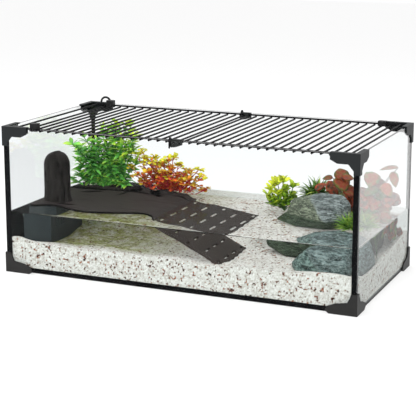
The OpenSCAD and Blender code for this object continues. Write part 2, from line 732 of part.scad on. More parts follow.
// Ground surface as a closed block that reaches past the panes on all sides
module ground_block() {
  nx = 32;
  ny = 16;
  over_x = in_x + 6;
  over_y = in_y + 8;
  top = [for (j = [0:ny]) for (i = [0:nx])
    let(x = over_x * (2 * i / nx - 1), y = over_y * (2 * j / ny - 1)) [x, y, ground(x, y)]];
  below = [[-over_x, -over_y, -5], [over_x, -over_y, -5], [over_x, over_y, -5], [-over_x, over_y, -5]];
  n = len(top);
  row = nx + 1;
  polyhedron(
    points = concat(top, below),
    faces = concat(
      [for (j = [0:ny - 1]) for (i = [0:nx - 1]) [j * row + i, j * row + i + row, j * row + i + 1]],
      [for (j = [0:ny - 1]) for (i = [0:nx - 1]) [j * row + i + 1, j * row + i + row, j * row + i + row + 1]],
      [[n, n + 1, n + 2, n + 3]],
      [concat([n + 1, n], [for (i = [0:nx]) i])],
      [concat([n + 3, n + 2], [for (i = [nx:-1:0]) ny * row + i])],
      [concat([n, n + 3], [for (j = [ny:-1:0]) j * row])],
      [concat([n + 2, n + 1], [for (j = [0:ny]) j * row + nx])]
    )
  );
}

// Gravel bed with the hollows that the rocks, the filter box, the ramp's end and the
// plants' feet stand in
module gravel() {
  bed_x = in_x - joint_gap - gravel_gap;
  bed_y = in_y - joint_gap - gravel_gap;
  corner = bead + gravel_gap;
  color([0.80, 0.76, 0.70])
    difference() {
      intersection() {
        ground_block();
        translate([0, 0, floor_z])
          linear_extrude(tank_h)
            polygon([
              [-bed_x + corner, -bed_y], [bed_x - corner, -bed_y], [bed_x, -bed_y + corner], [bed_x, bed_y - corner],
              [bed_x - corner, bed_y], [-bed_x + corner, bed_y], [-bed_x, bed_y - corner], [-bed_x, -bed_y + corner]
            ]);
      }
      rock(back_corners(), gravel_gap);
      rock(front_corners(), gravel_gap);
      translate([
        housing_x - housing_len / 2 - gravel_gap, housing_y - housing_depth / 2 - gravel_gap, housing_z - gravel_gap
      ])
        cube([housing_len + 2 * gravel_gap, housing_depth + 2 * gravel_gap, tank_h]);
      translate([deck_x1, ramp_mid_y, deck_bottom])
        rotate([0, ramp_angle, 0])
          translate([ramp_len - 40, -ramp_w / 2 - 4, -deck_t - gravel_gap])
            cube([60, ramp_w + 8, 80]);
      for (p = [tall_at, red_at, paddle_at, spiky_at, broad_at, tuft_at])
        translate([p[0], p[1], ground(p[0], p[1]) - 2 - plug_h - gravel_gap])
          cylinder(h = tank_h, r = plug_r + gravel_gap, $fn = 16);
    }
}

base_glass();
front_glass();
back_glass();
left_glass();
right_glass();
corner_seal(-1, -1);  // seal_front_left
corner_seal(1, -1);  // seal_front_right
corner_seal(-1, 1);  // seal_back_left
corner_seal(1, 1);  // seal_back_right
band_y(-1);  // band_front
band_y(1);  // band_back
band_x(-1);  // band_left
band_x(1);  // band_right
foot_at(-1, -1);  // foot_front_left
foot_at(1, -1);  // foot_front_right
foot_at(-1, 1);  // foot_back_left
foot_at(1, 1);  // foot_back_right
cap_at(-1, -1);  // cap_front_left
cap_at(1, -1);  // cap_front_right
cap_at(-1, 1);  // cap_back_left
cap_at(1, 1);  // cap_back_right
cable_hoop();
lid_left();
lid_right();
hanger_front();
hanger_back();
hook_front();
hook_back();
tab_front_left();
tab_back_left();
tab_back_right();
deck();
ramp();
suction_cups();
stump();
filter_housing();
filter_pump();
filter_sponge();
gravel();
rock_back();
rock_front();
plant_tall();
plant_red();
plant_paddle();
plant_spiky();
plant_broad();
plant_tuft();
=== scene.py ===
import json
import math

import bmesh
import bpy
import numpy as np
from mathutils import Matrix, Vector
from mathutils.noise import fractal

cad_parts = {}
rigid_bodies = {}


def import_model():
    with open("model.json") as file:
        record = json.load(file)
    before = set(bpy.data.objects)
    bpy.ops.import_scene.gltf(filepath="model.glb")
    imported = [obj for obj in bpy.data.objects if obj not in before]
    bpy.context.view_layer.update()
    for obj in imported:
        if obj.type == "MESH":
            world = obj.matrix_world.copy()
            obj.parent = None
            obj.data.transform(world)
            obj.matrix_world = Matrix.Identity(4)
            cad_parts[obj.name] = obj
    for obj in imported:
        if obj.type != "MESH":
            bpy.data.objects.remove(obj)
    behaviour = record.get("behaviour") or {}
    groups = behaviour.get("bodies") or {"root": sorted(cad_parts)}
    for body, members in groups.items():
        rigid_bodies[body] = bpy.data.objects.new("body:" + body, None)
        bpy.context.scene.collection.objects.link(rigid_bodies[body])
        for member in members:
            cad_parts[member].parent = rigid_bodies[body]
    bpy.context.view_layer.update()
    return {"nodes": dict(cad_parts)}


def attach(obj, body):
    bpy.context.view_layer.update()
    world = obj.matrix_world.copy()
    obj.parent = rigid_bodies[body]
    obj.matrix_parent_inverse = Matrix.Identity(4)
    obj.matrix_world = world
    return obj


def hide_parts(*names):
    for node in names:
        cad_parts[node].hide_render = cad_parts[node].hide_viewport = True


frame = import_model()
mm = 0.001

# Camera at the photograph's viewing angle
cameraSetup = {
    "place": (0.80942, -1.84178, 0.58304),
    "aim": (-0.3904, 0.9004, -0.1921),
    "lens": 108.99,
    "shift": (-0.0179, -0.1244),
}
cameraData = bpy.data.cameras.new("photoCamera")
cameraData.lens = cameraSetup["lens"]
cameraData.sensor_width = 36
cameraData.shift_x, cameraData.shift_y = cameraSetup["shift"]
cameraData.clip_start = 0.01
camera = bpy.data.objects.new("photoCamera", cameraData)
camera.location = cameraSetup["place"]
camera.rotation_euler = Vector(cameraSetup["aim"]).to_track_quat("-Z", "Y").to_euler()
bpy.context.collection.objects.link(camera)
bpy.context.scene.camera = camera
bpy.context.scene.view_settings.view_transform = "Standard"
print("camera set")


# A socket takes a value or the output of another node
def setSocket(tree, socket, value):
    if isinstance(value, bpy.types.NodeSocket):
        tree.links.new(value, socket)
    elif socket.type == "RGBA":
        socket.default_value = (*value, 1)
    else:
        socket.default_value = value


def fill(tree, node, **values):
    for key, value in values.items():
        label = key.replace("_", " ")
        if label in node.inputs:
            setSocket(tree, node.inputs[label], value)
        else:
            setattr(node, key, value)
    return node


def addNode(tree, kind, **values):
    return fill(tree, tree.nodes.new(kind), **values)


# A node whose first sockets are given in their order
def joinNode(tree, kind, *values, **settings):
    node = addNode(tree, kind, **settings)
    for socket, value in zip(node.inputs, values):
        setSocket(tree, socket, value)
    return node.outputs[0]


def mathNode(tree, operation, *values, clamp=False):
    return joinNode(tree, "ShaderNodeMath", *values, operation=operation, use_clamp=clamp)


def mixColor(tree, factor, a, b, blend="MIX"):
    node = addNode(tree, "ShaderNodeMix", data_type="RGBA", blend_type=blend)
    for place, value in ((0, factor), (6, a), (7, b)):
        setSocket(tree, node.inputs[place], value)
    return node.outputs[2]


def mixShader(tree, factor, a, b):
    return joinNode(tree, "ShaderNodeMixShader", factor, a, b)


def ramp(tree, factor, stops):
    node = addNode(tree, "ShaderNodeValToRGB", Fac=factor)
    elements = node.color_ramp.elements
    while len(elements) < len(stops):
        elements.new(0.5)
    for element, (place, color) in zip(elements, stops):
        element.position = place
        element.color = (*color, 1)
    return node.outputs[0]


def noise(tree, vector, **values):
    return addNode(tree, "ShaderNodeTexNoise", Vector=vector, **values).outputs[0]


def timesVector(tree, vector, factors):
    return joinNode(tree, "ShaderNodeVectorMath", vector, factors, operation="MULTIPLY")


def bumpFrom(tree, height, strength, distance):
    return addNode(tree, "ShaderNodeBump", Strength=strength, Distance=distance, Height=height).outputs[0]


# Moulded and grown pieces carry tones and places as mesh attributes
def attribute(tree, name):
    return addNode(tree, "ShaderNodeAttribute", attribute_name=name).outputs["Fac"]


def objectCoords(tree):
    return addNode(tree, "ShaderNodeTexCoord").outputs["Object"]


# A shared effect is opened with its inputs, and closed with what it puts out
def newGroup(name, **inputs):
    tree = bpy.data.node_groups.new(name, "ShaderNodeTree")
    for label, value in inputs.items():
        kind = "Float" if isinstance(value, float) else {3: "Vector", 4: "Color"}[len(value)]
        socket = tree.interface.new_socket(label, in_out="INPUT", socket_type="NodeSocket" + kind)
        socket.default_value = value
    return tree, tree.nodes.new("NodeGroupInput").outputs


def closeGroup(tree, **outputs):
    for label, source in outputs.items():
        kind = "Float" if source.type == "VALUE" else "Color"
        tree.interface.new_socket(label, in_out="OUTPUT", socket_type="NodeSocket" + kind)
    addNode(tree, "NodeGroupOutput", **outputs)


def useGroup(tree, group, **values):
    return addNode(tree, "ShaderNodeGroup", node_tree=group, **values).outputs


def newMaterial(name, **values):
    material = bpy.data.materials.new(name)
    material.use_nodes = True
    tree = material.node_tree
    return material, tree, fill(tree, tree.nodes["Principled BSDF"], **values)


# Fine moulded grain: a shade that drifts a little, and a height for bump
grainGroup, grainIn = newGroup("fineGrain", Vector=(0, 0, 0), Scale=900.0, Drift=14.0)
closeGroup(
    grainGroup,
    Grain=noise(grainGroup, grainIn["Vector"], Scale=grainIn["Scale"], Detail=3.0, Roughness=0.6),
    Cloud=noise(grainGroup, grainIn["Vector"], Scale=grainIn["Drift"], Detail=4.0, Roughness=0.55),
)


def grained(name, dark, light, roughness, scale=900.0, bump=0.15, distance=0.0002, **values):
    material, tree, shader = newMaterial(name, Roughness=roughness, **values)
    grain = useGroup(tree, grainGroup, Vector=objectCoords(tree), Scale=scale)
    fill(
        tree, shader,
        Base_Color=ramp(tree, grain["Cloud"], [(0.3, dark), (0.7, light)]),
        Roughness=mathNode(tree, "MULTIPLY_ADD", grain["Grain"], 0.16, roughness - 0.08),
        Normal=bumpFrom(tree, grain["Grain"], bump, distance),
    )
    return material


satin = {"Specular_IOR_Level": 0.22}
capPlastic = grained("capPlastic", (0.008, 0.010, 0.011), (0.014, 0.016, 0.017), 0.48, **satin)
footPlastic = grained("footPlastic", (0.012, 0.012, 0.012), (0.022, 0.021, 0.020), 0.50, **satin)
hangerPlastic = grained("hangerPlastic", (0.018, 0.020, 0.020), (0.032, 0.035, 0.034), 0.5, **satin)
tabPlastic = grained("tabPlastic", (0.008, 0.008, 0.009), (0.016, 0.016, 0.017), 0.45, **satin)
filterPlastic = grained("filterPlastic", (0.026, 0.034, 0.038), (0.036, 0.046, 0.050), 0.55, **satin)
pumpPlastic = grained("pumpPlastic", (0.010, 0.010, 0.011), (0.018, 0.018, 0.020), 0.45, **satin)
siliconeBlack = grained(
    "siliconeBlack", (0.004, 0.004, 0.005), (0.009, 0.009, 0.010), 0.36,
    scale=120.0, bump=0.1, distance=0.0004, **satin,
)
wirePaint = grained(
    "wirePaint", (0.002, 0.002, 0.003), (0.006, 0.006, 0.007), 0.45,
    scale=1500.0, bump=0.1, Specular_IOR_Level=0.1,
)
spongeFoam = grained(
    "spongeFoam", (0.015, 0.025, 0.045), (0.030, 0.045, 0.070), 0.95,
    scale=420.0, bump=0.9, distance=0.0012,
)
cupRubber = grained(
    "cupRubber", (0.50, 0.56, 0.55), (0.62, 0.67, 0.65), 0.25, Transmission_Weight=0.6, IOR=1.42,
)
waterLevel = 0.1


# Clear bodies: real refraction for what is seen, and plain passage for shadows and bounced light
def clearMaterial(name, color, ior, shade, mirror, across=None, calm=0.0, wetCalm=0.0):
    material, tree, shader = newMaterial(
        name, Base_Color=color, Roughness=0.0, IOR=ior, Metallic=0.0, Transmission_Weight=1.0,
        Specular_Tint=(mirror, mirror, mirror),
    )
    if across:  # a pane's cut edges are darker and greener than its faces
        normal = addNode(tree, "ShaderNodeTexCoord").outputs["Normal"]
        facing = addNode(tree, "ShaderNodeSeparateXYZ", Vector=normal).outputs[across]
        flat = mathNode(tree, "GREATER_THAN", mathNode(tree, "ABSOLUTE", facing), 0.5)
        fill(tree, shader, Base_Color=mixColor(tree, flat, (0.16, 0.21, 0.19), color))
    body = shader.outputs[0]
    if wetCalm:
        position = addNode(tree, "ShaderNodeNewGeometry").outputs["Position"]
        height = addNode(tree, "ShaderNodeSeparateXYZ", Vector=position).outputs["Z"]
        calm = mathNode(tree, "MULTIPLY", mathNode(tree, "LESS_THAN", height, waterLevel), wetCalm)
    if calm:  # this share of the surface bends light without a mirror image, on side panes below the water
        bend = addNode(tree, "ShaderNodeBsdfRefraction", Color=color, Roughness=0.0, IOR=ior)
        body = mixShader(tree, calm, body, bend.outputs[0])
    path = addNode(tree, "ShaderNodeLightPath").outputs
    passing = mathNode(tree, "MAXIMUM", path["Is Shadow Ray"], path["Is Diffuse Ray"])
    through = addNode(tree, "ShaderNodeBsdfTransparent", Color=shade)
    fill(tree, tree.nodes["Material Output"], Surface=mixShader(tree, passing, body, through.outputs[0]))
    return material


paneGlass = clearMaterial(
    "paneGlass", (0.925, 0.940, 0.943), ior=1.5, shade=(0.96, 0.975, 0.97), mirror=0.03, across="Y",
)
sideGlass = clearMaterial(
    "sideGlass", (0.905, 0.920, 0.923), ior=1.6, shade=(0.96, 0.975, 0.97), mirror=1.0,
    across="X", wetCalm=0.66,
)
tankWater = clearMaterial(
    "tankWater", (0.965, 0.972, 0.962), ior=1.333, shade=(0.975, 0.98, 0.97), mirror=0.5, calm=0.88,
)

# Moulded bark: long grooves along one axis and finer cracks
barkGroup, barkIn = newGroup("barkRelief", Vector=(0, 0, 0), Stretch=(1, 1, 1))
barkPlace = timesVector(barkGroup, barkIn["Vector"], barkIn["Stretch"])
barkWide = noise(barkGroup, barkPlace, Scale=1.0, Detail=5.0, Roughness=0.6, Distortion=0.6)
barkFine = noise(barkGroup, barkPlace, Scale=4.5, Detail=4.0, Roughness=0.65)
closeGroup(barkGroup, Tone=mathNode(barkGroup, "MULTIPLY_ADD", barkFine, 0.35, barkWide))


def barked(name, dark, light, shadeColor, stretch):
    material, tree, shader = newMaterial(name, Roughness=0.55, Specular_IOR_Level=0.04)
    tone = useGroup(tree, barkGroup, Vector=objectCoords(tree), Stretch=stretch)["Tone"]
    body = ramp(tree, tone, [(0.40, dark), (0.85, light)])
    # Painted shade: the "shade" attribute darkens the bark towards its darkest colour where a piece marks it
    fill(
        tree, shader,
        Base_Color=mixColor(tree, attribute(tree, "shade"), body, shadeColor),
        Normal=bumpFrom(tree, tone, 0.5, 0.0015),
    )
    return material


deckBark = barked("deckBark", (0.029, 0.024, 0.023), (0.044, 0.037, 0.035), (0.003,) * 3, (22, 90, 40))
rampBark = barked(
    "rampBark", (0.038, 0.031, 0.028), (0.056, 0.046, 0.042), (0.006, 0.005, 0.005), (30, 80, 40),
)
stumpBark = barked(
    "stumpBark", (0.018, 0.0165, 0.015), (0.036, 0.033, 0.030), (0.003, 0.002, 0.002), (110, 110, 18),
)

# Slate: layers, thin wavy pale lines, and specks
slateGroup, slateIn = newGroup("slateVeins", Vector=(0, 0, 0), Layers=(1, 1, 1), Waves=(1, 1, 1))
layerPlace = timesVector(slateGroup, slateIn["Vector"], slateIn["Layers"])
layerTone = noise(slateGroup, layerPlace, Scale=1.0, Detail=6.0, Roughness=0.62, Distortion=1.3)
wavePlace = timesVector(slateGroup, slateIn["Vector"], slateIn["Waves"])
waveTone = noise(slateGroup, wavePlace, Scale=1.0, Detail=5.0, Roughness=0.58, Distortion=1.6)
speckTone = noise(slateGroup, slateIn["Vector"], Scale=420.0, Detail=3.0, Roughness=0.7)
veinTurn = mathNode(slateGroup, "FRACT", mathNode(slateGroup, "MULTIPLY", waveTone, 4.0))
veinEdge = mathNode(slateGroup, "ABSOLUTE", mathNode(slateGroup, "SUBTRACT", veinTurn, 0.5))
closeGroup(
    slateGroup,
    Shade=layerTone,
    Veins=mathNode(slateGroup, "SUBTRACT", 1.0, mathNode(slateGroup, "MULTIPLY", veinEdge, 5.2), clamp=True),
    Specks=speckTone,
    Height=mathNode(slateGroup, "MULTIPLY_ADD", speckTone, 0.3, layerTone),
)


def slated(name, stops, vein, leftTint, layers, waves):
    material, tree, shader = newMaterial(name, Roughness=0.6)
    slate = useGroup(tree, slateGroup, Vector=objectCoords(tree), Layers=layers, Waves=waves)
    speckShare = ramp(tree, slate["Specks"], [(0.52, (0, 0, 0)), (0.70, (0.75, 0.75, 0.75))])
    specked = mixColor(tree, speckShare, ramp(tree, slate["Shade"], stops), vein)
    veined = mixColor(tree, mathNode(tree, "MULTIPLY", slate["Veins"], 0.8), specked, vein)
    sideTint = mixColor(tree, attribute(tree, "side"), leftTint, (1.0, 1.0, 1.0))
    shadeTint = ramp(tree, attribute(tree, "shade"), [
        (0.0, (0.24, 0.33, 0.29)), (0.25, (0.75, 0.76, 0.75)), (1.0, (1.2, 1.2, 1.18)),
    ])
    tinted = mixColor(tree, 1.0, veined, sideTint, "MULTIPLY")
    shaded = mixColor(tree, 1.0, tinted, shadeTint, "MULTIPLY")
    seamShare = mathNode(tree, "MULTIPLY", attribute(tree, "seam"), 0.28)
    fill(
        tree, shader,
        Base_Color=mixColor(tree, seamShare, shaded, vein),
        Normal=bumpFrom(tree, slate["Height"], 0.7, 0.003),
    )
    return material


rockBackSlate = slated(
    "rockBackSlate",
    [(0.38, (0.020, 0.028, 0.028)), (0.50, (0.088, 0.110, 0.107)), (0.61, (0.28, 0.325, 0.325))],
    vein=(0.40, 0.46, 0.46), leftTint=(0.84, 0.84, 0.60), layers=(42, 60, 215), waves=(40, 60, 190),
)
rockFrontSlate = slated(
    "rockFrontSlate",
    [(0.38, (0.012, 0.021, 0.022)), (0.50, (0.060, 0.095, 0.095)), (0.61, (0.235, 0.31, 0.315))],
    vein=(0.33, 0.40, 0.40), leftTint=(0.9, 1.0, 0.93), layers=(52, 60, 170), waves=(60, 60, 160),
)

# Leaf colours run from base to tip with a leaf's age and the place along it
black = (0, 0, 0, 1)
leafGroup, leafIn = newGroup("leafTones", Base=black, Middle=black, Tip=black, Age=0.5, Along=0.5, Tone=0.5)
leafAged = mathNode(leafGroup, "MULTIPLY", leafIn["Age"], 0.8)
leafPlace = mathNode(leafGroup, "MULTIPLY_ADD", leafIn["Along"], 0.45, leafAged)
lowPart = mathNode(leafGroup, "MULTIPLY", leafPlace, 1.9, clamp=True)
highPart = mathNode(leafGroup, "MULTIPLY", mathNode(leafGroup, "SUBTRACT", leafPlace, 0.5), 1.9, clamp=True)
leafLow = mixColor(leafGroup, lowPart, leafIn["Base"], leafIn["Middle"])
leafMixed = mixColor(leafGroup, highPart, leafLow, leafIn["Tip"])
leafLight = mathNode(leafGroup, "MULTIPLY_ADD", leafIn["Tone"], 0.7, 0.62)
leafLit = addNode(leafGroup, "ShaderNodeVectorMath", operation="SCALE", Vector=leafMixed, Scale=leafLight)
closeGroup(leafGroup, Color=leafLit.outputs[0])


def leafy(name, base, middle, tip, mottle=0.3, drift=120.0):
    material, tree, shader = newMaterial(name, Roughness=0.42)
    grain = useGroup(tree, grainGroup, Vector=objectCoords(tree), Scale=1400.0, Drift=drift)
    patchy = mathNode(tree, "MULTIPLY", mathNode(tree, "SUBTRACT", grain["Cloud"], 0.5), mottle)
    tones = useGroup(
        tree, leafGroup, Base=base, Middle=middle, Tip=tip,
        Age=mathNode(tree, "ADD", attribute(tree, "age"), patchy),
        Along=attribute(tree, "along"), Tone=attribute(tree, "tone"),
    )
    fill(tree, shader, Base_Color=tones["Color"], Normal=bumpFrom(tree, grain["Grain"], 0.2, 0.0003))
    return material


tallLeaf = leafy("tallLeaf", (0.034, 0.215, 0.055), (0.185, 0.620, 0.095), (0.66, 0.82, 0.060))
redLeaf = leafy("redLeaf", (0.56, 0.012, 0.070), (0.82, 0.12, 0.024), (0.76, 0.76, 0.035))
paddleLeaf = leafy("paddleLeaf", (0.008, 0.070, 0.016), (0.24, 0.46, 0.030), (0.80, 0.86, 0.060))
spikyLeaf = leafy("spikyLeaf", (0.022, 0.060, 0.018), (0.080, 0.200, 0.040), (0.42, 0.54, 0.08))
tuftLeaf = leafy("tuftLeaf", (0.030, 0.110, 0.022), (0.12, 0.30, 0.040), (0.46, 0.60, 0.08))
broadLeaf = leafy(
    "broadLeaf", (0.040, 0.040, 0.022), (0.36, 0.050, 0.018), (0.10, 0.19, 0.040), mottle=2.8, drift=170.0,
)


# Washed stones: dark, brown and orange ones among the white; painted shade between stones and under the deck
def stony(name):
    material, tree, shader = newMaterial(name, Roughness=0.62)
    grain = useGroup(tree, grainGroup, Vector=objectCoords(tree), Scale=1200.0, Drift=60.0)
    stone = ramp(tree, attribute(tree, "tone"), [
        (0.00, (0.018, 0.015, 0.015)), (0.035, (0.035, 0.020, 0.018)), (0.075, (0.16, 0.050, 0.034)),
        (0.105, (0.46, 0.15, 0.070)), (0.13, (0.34, 0.24, 0.18)), (0.165, (0.50, 0.46, 0.42)),
        (0.25, (0.67, 0.645, 0.62)), (0.55, (0.79, 0.78, 0.765)), (1.00, (0.87, 0.865, 0.855)),
    ])
    # Painted shade in the gaps between stones
    gapTint = ramp(tree, attribute(tree, "gap"), [
        (0.0, (1, 1, 1)), (0.75, (0.84, 0.82, 0.79)), (1.0, (0.44, 0.41, 0.38)),
    ])
    # Painted shadow of the deck on the gravel: an olive tint, broken into patches
    deckShadowPatch = ramp(tree, grain["Cloud"], [(0.40, (0.45, 0.45, 0.45)), (0.58, (1, 1, 1))])
    deckShadowShare = mathNode(tree, "MULTIPLY", attribute(tree, "deckShadow"), deckShadowPatch)
    deckShadowTint = ramp(tree, deckShadowShare, [(0.0, (1, 1, 1)), (1.0, (0.38, 0.41, 0.14))])
    gapped = mixColor(tree, 1.0, stone, gapTint, "MULTIPLY")
    fill(
        tree, shader,
        Base_Color=mixColor(tree, 1.0, gapped, deckShadowTint, "MULTIPLY"),
        Normal=bumpFrom(tree, grain["Grain"], 0.35, 0.0006),
    )
    return material


gravelStone = stony("gravelStone")
print("materials made")

# CAD nodes that stay as they are get their finishes
nodeFinishes = {
    "left_glass": sideGlass, "right_glass": sideGlass, "glass": paneGlass, "seal": siliconeBlack,
    "band": siliconeBlack, "foot": footPlastic, "cap": capPlastic, "cable_hoop": capPlastic, "lid": wirePaint,
    "hook": wirePaint, "hanger": hangerPlastic, "tab": tabPlastic, "ramp": rampBark,
    "suction_cups": cupRubber, "filter_housing": filterPlastic, "filter_pump": pumpPlastic,
    "filter_sponge": spongeFoam,
}
for nodeName, nodeObject in frame["nodes"].items():
    for word, finish in nodeFinishes.items():
        if nodeName == word or nodeName.startswith(word + "_") or nodeName.endswith("_" + word):
            nodeObject.data.materials.clear()
            nodeObject.data.materials.append(finish)
            break


def newPiece(name, verts, faces, material, replaced=(), smooth=True, values=None):
    mesh = bpy.data.meshes.new(name)
    mesh.from_pydata([tuple(v) for v in verts], [], [tuple(int(i) for i in f) for f in faces])
    turned = bmesh.new()
    turned.from_mesh(mesh)
    bmesh.ops.recalc_face_normals(turned, faces=turned.faces)
    turned.to_mesh(mesh)
    turned.free()
    mesh.update()
    piece = bpy.data.objects.new(name, mesh)
    bpy.context.collection.objects.link(piece)
    mesh.materials.append(material)
    for key, data in (values or {}).items():
        layer = mesh.attributes.new(key, "FLOAT", "POINT")
        layer.data.foreach_set("value", np.asarray(data, dtype=np.float32))
    if smooth:
        mesh.polygons.foreach_set("use_smooth", [True] * len(mesh.polygons))
    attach(piece, "tank")
    if replaced:
        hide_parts(*replaced)
    return piece


# Smooth noise with one value for each point; points and size are in millimetres
def cloudAt(points, size, octaves=3, shift=0.0, stretch=(1, 1, 1)):
    scaled = np.asarray(points) / (np.array(stretch) * size) + shift
    return np.array([fractal(Vector(p), 0.9, 2.0, octaves) for p in scaled])


def gridFaces(rows, cols, start=0, flip=False, wrap=False):
    ids = np.arange(rows * cols).reshape(rows, cols) + start
    if wrap:
        ids = np.hstack([ids, ids[:, :1]])
    quads = np.stack([ids[:-1, :-1], ids[:-1, 1:], ids[1:, 1:], ids[1:, :-1]], 2).reshape(-1, 4)
    return quads[:, ::-1] if flip else quads


# Sizes in millimetres, as in the part's source
tank = {"inX": 294.0, "inY": 142.0, "floorZ": 7.5, "waterZ": waterLevel / mm, "deckZ": 102.5}
groundForm = {
    "level": 46, "frontBank": (5, 30), "backBank": (14, 60),  # height and reach
    "heaps": [  # height, middle and reach along x and y, below zero for hollows
        (8, tank["inX"] - 26, -tank["inY"], 70, 36),
        (9, -tank["inX"] + 14, -tank["inY"], 20, 34),
        (9, tank["inX"], tank["inY"] - 90, 44, 60),
        (-15, -tank["inX"], -tank["inY"] + 110, 50, 56),
        (-8, 66, -20, 44, 84),
    ],
    "ripples": [(1.1, 3.1, 2.3), (0.8, 1.7, -4.1)],  # height, degrees per millimetre of x and y
}


def ground(x, y):
    (front, frontReach), (back, backReach) = groundForm["frontBank"], groundForm["backBank"]
    height = (groundForm["level"] + front * np.exp(-((y + tank["inY"]) / frontReach) ** 2)
              + back * np.exp(-((y - tank["inY"]) / backReach) ** 2))
    for rise, atX, atY, reachX, reachY in groundForm["heaps"]:
        height = height + rise * np.exp(-((x - atX) / reachX) ** 2 - ((y - atY) / reachY) ** 2)
    for rise, alongX, alongY in groundForm["ripples"]:
        height = height + rise * np.sin(np.radians(x * alongX + y * alongY))
    return height


# A number from 0 to 1 for each cell, that looks like chance
def chance(cells, salt):
    mixed = np.sin(cells @ np.array([12.9898, 78.233, 37.719]) + salt * 17.31) * 43758.5453
    return mixed - np.floor(mixed)


# Packed stones: each point learns how far its stone's and the next stone's middle are, and its stone's tone
def stoneField(points, pitch):
    base = np.floor(points / pitch)
    near, second = np.full((2, len(points)), 1e9)
    tone = np.zeros(len(points))
    for step in np.ndindex(3, 3, 3):
        cells = base + step - 1
        seed = (cells + np.stack([chance(cells, salt) for salt in (1, 2, 3)], 1) * 0.8 + 0.1) * pitch
        distance = np.linalg.norm(points - seed, axis=1)
        closer = distance < near
        second = np.where(closer, near, np.minimum(second, distance))
        tone = np.where(closer, chance(cells, 4), tone)
        near = np.where(closer, distance, near)
    return near, second, tone


gravelBed = {
    "step": 1.3, "wallX": 293.2, "wallY": 141.2, "wallRows": 34,
    "pitch": 2.9, "stoneShare": 0.78, "gapShare": 0.35, "relief": 1.3, "topRelief": 1.3, "topRise": 1.0,
    # painted shadow of the deck: where it ends to the right and to the front, how far it fades in, and how fast
    "deckShadow": {"right": 10, "acrossX": 130, "front": -112, "acrossY": 36, "fade": 0.8},
}


# The bed's outer faces, as points, the way out, rows and columns: its top, then a wall for each side
def gravelSheets():
    wallX, wallY, rows = gravelBed["wallX"], gravelBed["wallY"], gravelBed["wallRows"] + 1
    xs = np.linspace(-wallX, wallX, int(2 * wallX / gravelBed["step"]) + 1)
    ys = np.linspace(-wallY, wallY, int(2 * wallY / gravelBed["step"]) + 1)
    gridX, gridY = np.meshgrid(xs, ys)
    top = np.stack([gridX, gridY, ground(gridX, gridY)], 2).reshape(-1, 3)
    sheets = [(top, (0, 0, 1), len(ys), len(xs))]
    rise = np.linspace(0, 1, rows)[:, None]
    for side in (-1, 1):
        for x, y, out in ((xs, np.full_like(xs, side * wallY), (0, side, 0)),
                          (np.full_like(ys, side * wallX), ys, (side, 0, 0))):
            heights = tank["floorZ"] + rise * (ground(x, y) - tank["floorZ"])
            points = np.stack([np.tile(x, rows), np.tile(y, rows), heights.reshape(-1)], 1)
            sheets.append((points, out, rows, len(x)))
    return sheets


def makeGravel():
    pitch, tiny = gravelBed["pitch"], 1e-6
    stoneRadius = gravelBed["stoneShare"] * pitch
    verts, faces, tones, gaps, bottom, start = [], [], [], [], [], 0
    for points, out, rows, cols in gravelSheets():
        x, y, z = points.T
        near, second, tone = stoneField(points, pitch)
        bulge = np.sqrt(np.clip(stoneRadius ** 2 - near ** 2, 0, None)) / stoneRadius
        depth = (1 - bulge) * gravelBed["relief"]
        if start == 0:  # the stones on top lie more freely
            depth = depth * gravelBed["topRelief"] - gravelBed["topRise"]
        borders = (np.abs(np.abs(x) - gravelBed["wallX"]) < tiny).astype(int)
        borders += np.abs(np.abs(y) - gravelBed["wallY"]) < tiny
        borders += np.abs(z - ground(x, y)) < tiny
        borders += z < tank["floorZ"] + tiny
        depth[borders > 1] = 0  # the bed's edges stay straight, so that its faces join
        verts.append(points - np.array(out) * depth[:, None])
        tones.append(tone)
        # how near the next stone is, for the painted shade in the gaps
        gaps.append(np.clip(1 - (second - near) / (gravelBed["gapShare"] * pitch), 0, 1))
        faces.append(gridFaces(rows, cols, start))
        bottom.append(np.arange(cols) + start)
        start += rows * cols
    rounded = np.round(np.vstack(verts), 4)
    verts, first, joined = np.unique(rounded, axis=0, return_index=True, return_inverse=True)
    joined = joined.reshape(-1)
    front, left, back, right = (joined[line] for line in bottom[1:])
    faceList = list(joined[np.vstack(faces)])
    faceList.append(np.concatenate([front[:-1], right[:-1], back[:0:-1], left[:0:-1]]))
    # Painted shadow of the deck: full under the deck's left part and towards the back, fading out to the right
    # and front
    deckShadow = gravelBed["deckShadow"]
    deckShadowMask = (np.clip((deckShadow["right"] - verts[:, 0]) / deckShadow["acrossX"], 0, 1) ** deckShadow["fade"]
              * np.clip((verts[:, 1] - deckShadow["front"]) / deckShadow["acrossY"], 0, 1))
    values = {"tone": np.concatenate(tones)[first], "gap": np.concatenate(gaps)[first], "deckShadow": deckShadowMask}
    newPiece("gravelBed", verts * mm, faceList, gravelStone,
             replaced=["gravel"], values=values)


makeGravel()
print("gravel laid")


# A smooth closed line through points
def smoothLoop(points, steps):
    points = np.array(points)
    count = len(points)
    loop = []
    for i in range(count):
        a, b, c, d = (points[(i + k) % count] for k in (-1, 0, 1, 2))
        for t in np.arange(steps) / steps:
            loop.append(0.5 * (2 * b + (c - a) * t + (2 * a - 5 * b + 4 * c - d) * t * t
                               + (3 * b - a - 3 * c + d) * t ** 3))
    return np.array(loop)


